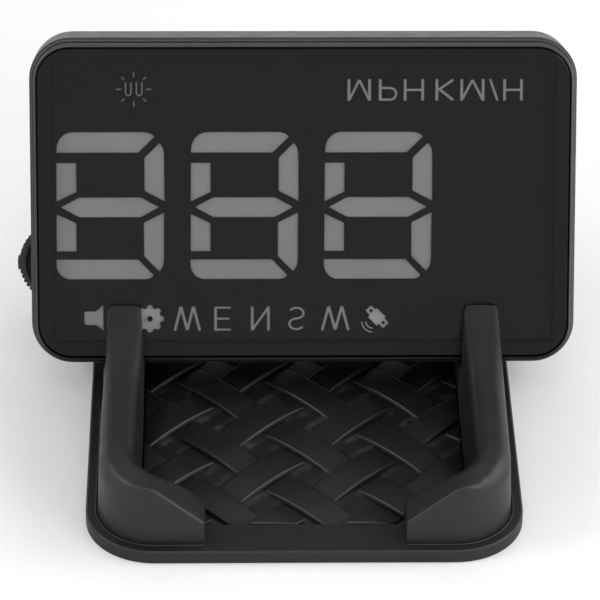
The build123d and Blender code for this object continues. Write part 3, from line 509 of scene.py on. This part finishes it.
# CAD piece: key in MATERIALS
CAD_MATERIALS = {
    "base_pad": "pad", "weave_mat": "mat", "gel_sole": "sole",
    "left_rail": "rail", "right_rail": "rail",
    "front_lens": "lens", "lens_gasket": "adhesive", "front_bezel": "bezel",
    "mid_frame": "trim", "rear_cover": "cover", "legend_mask": "mask",
    "diffuser_sheet": "diffuser", "light_box": "reflector", "main_pcb": "pcb",
    "segment_leds": "led", "light_sensor": "chip", "pcb_screws": "steel",
    "case_screws": "steel", "microcontroller": "chip", "led_driver": "chip",
    "power_parts": "chip", "gps_antenna": "ceramic", "gps_shield": "nickel",
    "buzzer": "chip", "usb_c_port": "nickel", "battery_cell": "battery",
    "battery_tape": "foam", "battery_plug": "plug", "battery_leads": "wire",
    "solar_board": "solar_back", "solar_cells": "solar", "solar_glass": "solar_glass",
    "solar_wires": "wire", "jog_base": "jog", "jog_slider": "jog",
    "jog_axle": "steel", "jog_wheel": "wheel",
}


def assign_cad_materials():
    for piece, key in CAD_MATERIALS.items():
        ob = NODES[piece]
        for slot in ob.material_slots:
            slot.material = MATERIALS[key]
        if not ob.material_slots:
            ob.data.materials.append(MATERIALS[key])


assign_cad_materials()

# -------------------------------------------------------------------- woven mat
WEAVE_CORNER = (-26.98, 4.28)                  # a corner of the weave lattice
WEAVE_PITCH = 15.9                             # repeat along X and Y
STRIP_WIDTH = WEAVE_PITCH / (2 * math.sqrt(2))
RISING = (math.sqrt(0.5), math.sqrt(0.5))      # along the "/" strips
FALLING = (math.sqrt(0.5), -math.sqrt(0.5))    # along the "\" strips
WEAVE_REACH = 9                                # lattice cells each way from the corner
WEAVE_MARGIN = 8                               # kept around the mat before trimming
WEAVE_DEPTH = 0.93                             # weave's low level below the CAD mat's top
CROWN = 0.98                                   # strip height at mid-float
STRIP_END = 0.10                               # strip height where it dives under
STRIP_CAMBER = 0.05                            # extra height along a strip's middle
HOLE_HEIGHT = 0.06                             # height of the cells between strips
FLOAT_CELLS = 3                                # a strip shows for 3 cells out of 4
RISING_STARTS = {3: 0, 1: 2}                   # falling-axis cell: first visible rising cell
FALLING_STARTS = {1: 0, 3: 2}                  # rising-axis cell: first visible falling cell
SHOULDER = 0.068                               # share of a cell in a strip's rounded shoulder
SHOULDER_DROP = 0.30
# fractions across a cell where it is sampled
CELL_SAMPLES = (0.0, 0.006, 0.014, 0.024, 0.036, 0.05, 0.068, 0.10, 0.16, 0.25, 0.36,
                0.50, 0.64, 0.75, 0.84, 0.90, 0.932, 0.95, 0.964, 0.976, 0.986, 0.994)
MAT_GAP = 0.22                                 # shadow gap at front and back
MAT_EASE = 0.25                                # width left for the eased edge
MAT_CORNER = 1.3                               # corner chamfer
EASE_STEPS = ((0.10, 0.03), (0.08, 0.08), (0.07, 0.14))   # (outward, down) per step
UNDERSIDE_LIFT = 0.02


def strip_height(cell, fraction, across):
    """Height of a strip: arched along its float, slightly crowned and shouldered across."""
    t = (cell + fraction) / FLOAT_CELLS
    arch = (1 - (2 * t - 1) ** 2) ** 0.85
    height = (STRIP_END + (CROWN - STRIP_END) * arch
              + STRIP_CAMBER * (1 - (2 * across - 1) ** 2))
    edge_distance = min(across, 1 - across)
    return height - round_off(edge_distance / SHOULDER, 1.0) * SHOULDER_DROP


def weave_height(i, fraction_i, j, fraction_j):
    """Height in lattice cell (i, j) at fractions across it."""
    if j % 4 in RISING_STARTS:
        cell = (i - RISING_STARTS[j % 4]) % 4
        if cell < FLOAT_CELLS:
            return strip_height(cell, fraction_i, across=fraction_j)
    if i % 4 in FALLING_STARTS:
        cell = (j - FALLING_STARTS[i % 4]) % 4
        if cell < FLOAT_CELLS:
            return strip_height(cell, fraction_j, across=fraction_i)
    return HOLE_HEIGHT


def weave_sheet(x_min, x_max, y_min, y_max, level):
    """Open sheet of the weave, somewhat larger than the mat."""
    samples = [(cell, fraction) for cell in range(-WEAVE_REACH, WEAVE_REACH + 1)
               for fraction in CELL_SAMPLES]
    inside = 1e-6    # nudges samples off the cell borders
    verts, index = [], {}
    for a, (i, fraction_i) in enumerate(samples):
        for b, (j, fraction_j) in enumerate(samples):
            s = (i + fraction_i) * STRIP_WIDTH
            t = (j + fraction_j) * STRIP_WIDTH
            x = WEAVE_CORNER[0] + RISING[0] * s + FALLING[0] * t
            y = WEAVE_CORNER[1] + RISING[1] * s + FALLING[1] * t
            if not (x_min - WEAVE_MARGIN < x < x_max + WEAVE_MARGIN
                    and y_min - WEAVE_MARGIN < y < y_max + WEAVE_MARGIN):
                continue
            index[(a, b)] = len(verts)
            height = weave_height(i, fraction_i + inside, j, fraction_j + inside)
            verts.append((x, y, level + height))
    faces = []
    for a in range(len(samples) - 1):
        for b in range(len(samples) - 1):
            corners = [(a, b), (a + 1, b), (a + 1, b + 1), (a, b + 1)]
            if all(corner in index for corner in corners):
                faces.append([index[corner] for corner in corners])
    return verts, faces


def mat_outline(x_min, x_max, y_min, y_max):
    """(point, outward direction) of the planes that trim the sheet."""
    x0, x1 = x_min + MAT_EASE, x_max - MAT_EASE
    y0, y1 = y_min + MAT_GAP + MAT_EASE, y_max - MAT_GAP - MAT_EASE
    return [
        ((x0, 0, 0), (-1, 0, 0)), ((x1, 0, 0), (1, 0, 0)),
        ((0, y0, 0), (0, -1, 0)), ((0, y1, 0), (0, 1, 0)),
        ((x0 + MAT_CORNER, y0, 0), (-1, -1, 0)), ((x1 - MAT_CORNER, y0, 0), (1, -1, 0)),
        ((x0 + MAT_CORNER, y1, 0), (-1, 1, 0)), ((x1 - MAT_CORNER, y1, 0), (1, 1, 0))]


def outward(vert, planes):
    """Unit direction in XY of the trim plane nearest to a vertex."""
    choices = []
    for point, direction in planes:
        length = math.hypot(direction[0], direction[1])
        nx, ny = direction[0] / length, direction[1] / length
        distance = abs((vert.co.x - point[0]) * nx + (vert.co.y - point[1]) * ny)
        choices.append((distance, (nx, ny)))
    return min(choices, key=lambda choice: choice[0])[1]


def extrude_rim(bm, rim):
    """Extrude the open rim; returns its new vertices and edges."""
    made = bmesh.ops.extrude_edge_only(bm, edges=rim)["geom"]
    verts = [g for g in made if isinstance(g, bmesh.types.BMVert)]
    edges = [g for g in made if isinstance(g, bmesh.types.BMEdge) and g.is_boundary]
    return verts, edges


def build_mat():
    low, high = ([c * 1000 for c in corner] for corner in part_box("weave_mat"))
    limits = (low[0], high[0], low[1], high[1])
    verts, faces = weave_sheet(*limits, level=high[2] - WEAVE_DEPTH)
    mesh = bpy.data.meshes.new("woven_mat")
    mesh.from_pydata(verts, [], faces)
    bm = bmesh.new()
    bm.from_mesh(mesh)
    planes = mat_outline(*limits)
    for point, direction in planes:
        bmesh.ops.bisect_plane(bm, geom=list(bm.verts) + list(bm.edges) + list(bm.faces),
                               dist=1e-5, plane_co=point, plane_no=direction, clear_outer=True)
    bmesh.ops.remove_doubles(bm, verts=list(bm.verts), dist=2e-4)

    # eased edge, then a skirt and an underside close the solid
    rim = [e for e in bm.edges if e.is_boundary]
    for out, down in EASE_STEPS:
        new_verts, rim = extrude_rim(bm, rim)
        for v in new_verts:
            nx, ny = outward(v, planes)
            v.co.x += nx * out
            v.co.y += ny * out
            v.co.z -= down
    new_verts, rim = extrude_rim(bm, rim)
    for v in new_verts:
        v.co.z = low[2] + UNDERSIDE_LIFT
    bmesh.ops.contextual_create(bm, geom=rim)
    bmesh.ops.triangulate(bm, faces=[f for f in bm.faces if len(f.verts) > 4])
    bmesh.ops.recalc_face_normals(bm, faces=bm.faces)
    for v in bm.verts:
        v.co *= MM
    bm.to_mesh(mesh)
    bm.free()
    mat = link_object("woven_mat", mesh)
    sharp_by_angle(mat, 55)
    assign(mat, MATERIALS["mat"])
    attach(mat, "stand")
    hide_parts("weave_mat")


build_mat()

# ------------------------------------------------------------------------ rails
# Drawn for the right side: a lip along the front, a round corner, then an arm running back.
PAD_TOP = 2.55
DRAFT = math.tan(math.radians(2.5))            # side walls draw in as they rise
RAIL_GAP = 0.06                                # clearance to the unit
OUTER_X, INNER_X = 35.25, 27.9                 # arm walls
FRONT_Y, LIP_INNER_Y = -39.65, -32.6           # lip walls
LIP_END_X = 16.9                               # lip end nearest the centre line
OUTER_TURN, INNER_TURN = 9.8, 3.4              # plan radii of the corner
OUTER_CENTRE = (OUTER_X - OUTER_TURN, FRONT_Y + OUTER_TURN)
INNER_CENTRE = (INNER_X - INNER_TURN, LIP_INNER_Y + INNER_TURN)
GLASS_TOE = on_unit(0, -RAIL_GAP, -RAIL_GAP)   # just off the glass's lower front edge
ARM_CREST = on_unit(0, 11.1, -RAIL_GAP)        # top of the arm at the glass
ARM_END_Y = GLASS_TOE.y - (GLASS_TOE.z - PAD_TOP) * math.tan(LEAN)    # at pad level

LIP_TOP = 6.85                                 # top height at the lip's end
LIP_SLOPE = 0.80                               # its rise per mm of X
LIP_SWEEP, LIP_SWEEP_Y = 0.8, -31.5            # quadratic rise behind this Y
ARM_TOP, ARM_TOP_Y = 15.3, -31.0               # start of the arm's straight top line
ARM_SLOPE = (ARM_CREST.z - ARM_TOP) / (ARM_CREST.y - ARM_TOP_Y)
TOP_BLEND = 1.1                                # height range that blends the two
TOP_CAMBER = 0.06                              # extra height across the middle of the top
LIP_END_ROUND, ARM_END_ROUND = 0.30, 0.75
ARM_SIDE_SHARE = 0.6                           # share of the end rounding on the arm's walls
LEFT_TOE_IN = 0.42                             # outward shift of the left arm's mirrored tip

LIP_STEPS = (0.0, 0.012, 0.026, 0.045, 0.08, 0.15, 0.25, 0.37, 0.49, 0.60, 0.69, 0.75,
             0.80, 0.84, 0.88, 0.92, 0.96)
ARC_STEPS = 30
ARM_STEPS = [i / 34 for i in range(1, 33)] + [0.955, 0.968, 0.978, 0.986, 0.992, 0.997, 1.0]
WALL_POINTS, EDGE_STEPS, TOP_STEPS = 8, 10, 8  # around one cross-section

# (outer, inner) top edge radii as (position, radius) pairs; position is the share of the
# part's length, except in the lip, where it is X
EDGE_RADII = {
    "lip": (((0.0, 0.45),),
            ((16.9, 0.36), (19.0, 0.40), (21.0, 0.52), (22.8, 1.10), (24.2, 1.95),
             (25.0, 2.35))),
    "arc": (((0.0, 0.45), (0.12, 0.60), (0.26, 1.20), (0.43, 2.20), (0.62, 2.75),
             (0.84, 2.60), (1.0, 2.30)),
            ((0.0, 2.35), (0.25, 2.75), (0.6, 2.85), (1.0, 2.80))),
    "arm": (((0.0, 2.30), (0.40, 2.05), (0.75, 1.15), (1.0, 0.85)),
            ((0.0, 2.80), (0.40, 2.55), (0.75, 1.15), (1.0, 0.80))),
}
# bead round the outer foot: (mm outward, share of bead height)
FOOT_BEAD = ((0.43, 0.0), (0.43, 0.55), (0.38, 0.86), (0.29, 1.0), (0.20, 0.86),
             (0.15, 0.45), (0.07, 0.30))
BEAD_HEIGHT, BEAD_RUN_IN = 0.25, 0.5           # it grows over the run-in at the lip's end
GROOVE_SHARE = 0.33                            # wall start, as a share of bead height


def rail_top(x, y):
    """Height of the rail's top: the lower of the lip and arm lines, blended."""
    lip = LIP_TOP + LIP_SLOPE * (x - LIP_END_X) + LIP_SWEEP * max(0.0, y - LIP_SWEEP_Y) ** 2
    arm = ARM_TOP + ARM_SLOPE * (y - ARM_TOP_Y)
    overlap = max(TOP_BLEND - abs(lip - arm), 0.0) / TOP_BLEND
    return min(lip, arm) - overlap * overlap * TOP_BLEND * 0.25


def rail_stations():
    """(outer point, inner point, outward direction, part, share of the part's length)."""
    stations = []
    for t in LIP_STEPS:
        x_outer = LIP_END_X + (OUTER_CENTRE[0] - LIP_END_X) * t
        x_inner = LIP_END_X + (INNER_CENTRE[0] - LIP_END_X) * t
        stations.append(((x_outer, FRONT_Y), (x_inner, LIP_INNER_Y), (0, -1), "lip", t))
    for i in range(ARC_STEPS + 1):
        angle = -math.pi / 2 + math.pi / 2 * i / ARC_STEPS
        nx, ny = math.cos(angle), math.sin(angle)
        outer = (OUTER_CENTRE[0] + OUTER_TURN * nx, OUTER_CENTRE[1] + OUTER_TURN * ny)
        inner = (INNER_CENTRE[0] + INNER_TURN * nx, INNER_CENTRE[1] + INNER_TURN * ny)
        stations.append((outer, inner, (nx, ny), "arc", i / ARC_STEPS))
    for t in ARM_STEPS:
        y_outer = OUTER_CENTRE[1] + (ARM_END_Y - OUTER_CENTRE[1]) * t
        y_inner = INNER_CENTRE[1] + (ARM_END_Y - INNER_CENTRE[1]) * t
        stations.append(((OUTER_X, y_outer), (INNER_X, y_inner), (1, 0), "arm", t))
    return stations


def rail_section(outer, inner, normal, part, t):
    """Closed cross-section: bead, outer wall, rounded top and inner wall."""
    place = 0.5 * (outer[0] + inner[0]) if part == "lip" else t
    outer_round, inner_round = (ramp_to(place, table) for table in EDGE_RADII[part])
    shear = shrink = side_in = 0.0
    bead = 1.0
    if part == "lip":
        from_end = t * (OUTER_CENTRE[0] - LIP_END_X)
        shrink = side_in = round_off(from_end, LIP_END_ROUND)
        bead = smooth01(from_end / BEAD_RUN_IN)
    elif part == "arm":
        # sections lean over gradually until they match the glass
        shear = smooth01(t / 0.9) * math.tan(LEAN)
        shrink = round_off((1 - t) * (ARM_END_Y - OUTER_CENTRE[1]), ARM_END_ROUND)
        side_in = shrink * ARM_SIDE_SHARE

    def top_at(point):
        """Top height over a foot point, allowing for the lean."""
        z = 12.0
        for _ in range(6):
            z = rail_top(point[0], point[1] + shear * (z - PAD_TOP))
        return z - shrink

    def wall_point(foot, offset, z):
        return (foot[0] + normal[0] * offset,
                foot[1] + normal[1] * offset + shear * (z - PAD_TOP), z)

    def inset(z):
        return (z - PAD_TOP) * DRAFT + side_in

    outer_top, inner_top = top_at(outer), top_at(inner)
    width = math.hypot(outer[0] - inner[0], outer[1] - inner[1])
    outer_draft = (outer_top - PAD_TOP) * DRAFT
    inner_draft = (inner_top - PAD_TOP) * DRAFT
    top_width = width - outer_draft - inner_draft - 2 * side_in

    def top_point(distance):
        """Point on the top, a distance in from its outer side."""
        f = (outer_draft + side_in + distance) / width
        x = outer[0] + (inner[0] - outer[0]) * f
        y = outer[1] + (inner[1] - outer[1]) * f
        share = min(1.0, max(0.0, distance / top_width))
        z = outer_top + (inner_top - outer_top) * share
        z -= round_off(distance, outer_round)
        z -= round_off(top_width - distance, inner_round)
        z += TOP_CAMBER * (1 - (2 * share - 1) ** 2)
        return x, y + shear * (z - PAD_TOP), z

    # a trace of the bead remains where it fades out, so that no points coincide
    bead_height = BEAD_HEIGHT * bead + 0.004
    ring = [wall_point(outer, out * bead + 0.002 * (1 - out), PAD_TOP + share * bead_height)
            for out, share in FOOT_BEAD]
    wall_foot = PAD_TOP + GROOVE_SHARE * bead_height
    for a in range(WALL_POINTS):
        z = wall_foot + (outer_top - outer_round - wall_foot) * a / (WALL_POINTS - 1)
        ring.append(wall_point(outer, -inset(z), z))
    quarter = math.pi / 2
    for a in range(1, EDGE_STEPS):
        ring.append(top_point(outer_round * (1 - math.cos(quarter * a / EDGE_STEPS))))
    flat = top_width - outer_round - inner_round
    for a in range(TOP_STEPS + 1):
        ring.append(top_point(outer_round + flat * a / TOP_STEPS))
    for a in range(1, EDGE_STEPS):
        in_from_inner = inner_round * (1 - math.sin(quarter * a / EDGE_STEPS))
        ring.append(top_point(top_width - in_from_inner))
    for a in range(WALL_POINTS - 1, -1, -1):
        z = PAD_TOP + (inner_top - inner_round - PAD_TOP) * a / (WALL_POINTS - 1)
        ring.append(wall_point(inner, inset(z), z))
    return ring


def rail_arm(side):
    """Vertices and faces of the lip, corner and arm; side is 1 right, -1 left."""
    rings = [rail_section(*station) for station in rail_stations()]
    size = len(rings[0])
    faces = loft_faces(len(rings), size)
    faces.append(list(range(size))[::-1])
    faces.append([(len(rings) - 1) * size + i for i in range(size)])

    def toe_in(y, z):
        """The left arm's upper part stands slightly further from the right-hand mirror."""
        if side > 0:
            return 0.0
        return LEFT_TOE_IN * smooth01((y + 24.0) / 22.0) * smooth01((z - PAD_TOP) / 10.0)

    return [(side * x + toe_in(y, z), y, z) for ring in rings for x, y, z in ring], faces


def rail_saddle(side):
    """Closed block under and behind the unit, with the rail's draft."""
    heel = on_unit(0, -RAIL_GAP, UNIT_THICKNESS + RAIL_GAP)
    post = on_unit(0, 22.0, UNIT_THICKNESS + RAIL_GAP)
    back_y = 35.6
    # side profile, (y, z)
    profile = [(ARM_END_Y, PAD_TOP), (GLASS_TOE.y, GLASS_TOE.z), (heel.y, heel.z),
               (post.y, post.z), (post.y + 2.6, post.z - 0.4), (back_y, 3.3),
               (back_y, PAD_TOP)]
    verts = []
    for wall_x, inward in ((OUTER_X, -1), (INNER_X, 1)):
        for y, z in profile:
            verts.append((side * (wall_x + inward * (z - PAD_TOP) * DRAFT), y, z))
    count = len(profile)
    faces = [list(range(count)), list(range(count, 2 * count))[::-1]]
    for a in range(count):
        b = (a + 1) % count
        faces.append([a, count + a, count + b, b])
    return verts, faces


def build_rail(side, name, cad_piece):
    arm = new_object(name, *rail_arm(side))
    sharp_by_angle(arm, 50)
    assign(arm, MATERIALS["rail"])
    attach(arm, "stand")
    saddle = new_object(name + "_saddle", *rail_saddle(side))
    bevel_edges(saddle, width=0.9, segments=5, min_angle=30)
    sharp_by_angle(saddle, 40)
    assign(saddle, MATERIALS["rail"])
    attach(saddle, "stand")
    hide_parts(cad_piece)
    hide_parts(cad_piece)


build_rail(1, "rail_right", "right_rail")
build_rail(-1, "rail_left", "left_rail")

# -------------------------------------------------------------------- jog wheel
WHEEL_RIGHT, WHEEL_UP = -43.41, -12.10         # centre, from the centre of the glass
TOOTH_COUNT = 47
TIP_RADIUS = 7.10
ROOT_RADIUS = TIP_RADIUS - 0.42
TOOTH_CORNER = TIP_RADIUS - 0.08
THUMB_PAD_RADIUS = 7.36
THUMB_PAD_HALF = math.radians(9.3)             # half the angle of the smooth pad
THUMB_PAD_STEPS = 8
# one tooth: (share of the tooth pitch, radius)
TOOTH = ((0.05, ROOT_RADIUS), (0.22, ROOT_RADIUS), (0.30, TOOTH_CORNER), (0.38, TIP_RADIUS),
         (0.64, TIP_RADIUS), (0.86, TIP_RADIUS), (0.93, TOOTH_CORNER))
# rings through hub, front cheek, rim, rear cheek and back: (radius, mm behind the glass,
# on the rim); on the rim the first number is added to the toothed outline's radius
WHEEL_RINGS = (
    (0.80, 9.50, False), (1.55, 9.50, False), (1.75, 9.62, False), (1.75, 10.15, False),
    (1.95, 10.25, False), (5.40, 10.25, False), (5.65, 10.10, False), (5.85, 9.86, False),
    (6.00, 9.80, False), (-0.10, 9.80, True), (-0.03, 9.83, True), (0.0, 9.90, True),
    (0.0, 11.50, True), (-0.03, 11.57, True), (-0.10, 11.60, True), (6.00, 11.60, False),
    (5.85, 11.54, False), (5.65, 11.30, False), (5.40, 11.15, False), (1.95, 11.15, False),
    (1.75, 11.25, False), (1.75, 11.88, False), (1.55, 12.00, False), (0.80, 12.00, False))


def wheel_outline():
    """(angle, radius) round the rim: the pad on the left, then the teeth."""
    outline = [(math.pi - THUMB_PAD_HALF + 2 * THUMB_PAD_HALF * i / THUMB_PAD_STEPS,
                THUMB_PAD_RADIUS) for i in range(THUMB_PAD_STEPS + 1)]
    pitch = (2 * math.pi - 2 * THUMB_PAD_HALF) / TOOTH_COUNT
    for k in range(TOOTH_COUNT):
        start = math.pi + THUMB_PAD_HALF + pitch * k
        outline += [(start + pitch * share, radius) for share, radius in TOOTH]
    return outline


def build_wheel():
    """Rubber thumb wheel: square teeth, a smooth thumb pad, dished cheeks and a hub."""
    outline = wheel_outline()
    verts = []
    for ring_radius, behind, on_rim in WHEEL_RINGS:
        for angle, rim_radius in outline:
            radius = rim_radius + ring_radius if on_rim else ring_radius
            verts.append(on_unit(WHEEL_RIGHT + radius * math.cos(angle),
                                 UNIT_HEIGHT / 2 + WHEEL_UP + radius * math.sin(angle),
                                 behind))
    faces = loft_faces(len(WHEEL_RINGS), len(outline), closed=True)
    wheel = new_object("thumb_wheel", verts, faces)
    sharp_by_angle(wheel, 35)
    assign(wheel, MATERIALS["wheel"])
    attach(wheel, "jog_wheel_body")
    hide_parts("jog_wheel")


build_wheel()

# ----------------------------------------------------------------------- camera
CAMERA_AZIMUTH = math.radians(-1.352)          # 0 looks from the front
CAMERA_ELEVATION = math.radians(34.981)
CAMERA_ROLL = math.radians(0.635)
CAMERA_TARGET = Vector((-0.458, 0.0, 24.986))
CAMERA_DISTANCE = 619.755
SENSOR_WIDTH = 36.0
FOCAL_LENGTH = 213.93804


def build_camera():
    back = Vector((math.sin(CAMERA_AZIMUTH) * math.cos(CAMERA_ELEVATION),
                   -math.cos(CAMERA_AZIMUTH) * math.cos(CAMERA_ELEVATION),
                   math.sin(CAMERA_ELEVATION)))
    place = CAMERA_TARGET + back * CAMERA_DISTANCE
    forward = -back
    right = forward.cross(Vector((0, 0, 1))).normalized()
    up = right.cross(forward).normalized()
    rolled_right = right * math.cos(CAMERA_ROLL) + up * math.sin(CAMERA_ROLL)
    rolled_up = -right * math.sin(CAMERA_ROLL) + up * math.cos(CAMERA_ROLL)
    data = bpy.data.cameras.new("camera")
    data.sensor_width = SENSOR_WIDTH
    data.sensor_fit = "HORIZONTAL"
    data.lens = FOCAL_LENGTH
    data.clip_start = 0.01
    data.clip_end = 20.0
    camera = link_object("camera", data)
    turn = Matrix((rolled_right, rolled_up, back)).transposed().to_4x4()
    camera.matrix_world = Matrix.Translation(place * MM) @ turn
    bpy.context.scene.camera = camera


build_camera()

# ------------------------------------------------------------- floor and lights
FLOOR_HALF = 4.0                               # metres
LIGHT_TARGET = Vector((0, 0, 0.02))            # metres
# name, place in metres, size of the square in metres, power in watts
LIGHTS = (
    ("side_softbox", (0.9, 0.0, 0.4), 0.8, 3.8),
    ("right_high", (0.7, 0.05, 0.65), 0.4, 1.6),
    ("left_high", (-0.75, -0.10, 0.62), 0.30, 2.4),
    ("front_left", (-0.7, -0.75, 0.55), 0.35, 0.8),
    ("front_softbox", (0.7, -0.7, 0.3), 0.5, 4.6),
    ("front_top", (0.0, -0.8, 1.0), 0.8, 4.6),
    ("back_top", (0.0, 1.0, 0.9), 1.2, 2.5),
)


def floor_paper():
    material, tree = new_material("floor_paper")
    fibres = tree.noise(scale=600.0, detail=3.0)
    tree.principled({
        "Base Color": tree.grey(tree.map_range(fibres, target=(0.745, 0.765))),
        "Roughness": 0.9,
        "Specular IOR Level": 0.1})
    return material


def build_floor():
    h = FLOOR_HALF
    mesh = bpy.data.meshes.new("floor")
    mesh.from_pydata([(-h, -h, 0), (h, -h, 0), (h, h, 0), (-h, h, 0)], [], [[0, 1, 2, 3]])
    floor = link_object("floor", mesh)
    assign(floor, floor_paper())


def build_world():
    """A light tent: bright low walls and a dim ceiling."""
    world = bpy.data.worlds.new("studio")
    bpy.context.scene.world = world
    world.use_nodes = True
    tree = ShaderTree(world)
    height = tree.node("ShaderNodeSeparateXYZ", {"Vector": tree.coords["Generated"]}).outputs["Z"]
    glow = tree.map_range(height, source=(0.32, 0.78), target=(1.20, 0.36),
                          interpolation_type="SMOOTHSTEP")
    tree.fill(tree.tree.nodes["Background"], {"Color": tree.grey(glow), "Strength": 1.0})


def build_lights():
    for name, place, size, power in LIGHTS:
        data = bpy.data.lights.new(name, "AREA")
        data.energy = power
        data.size = size
        light = link_object(name, data)
        light.location = place
        aim = LIGHT_TARGET - Vector(place)
        light.rotation_euler = aim.to_track_quat("-Z", "Y").to_euler()


build_floor()
build_world()
build_lights()

view = bpy.context.scene.view_settings
view.view_transform = "Standard"
view.look = "None"
view.exposure = 0.0
view.gamma = 1.0
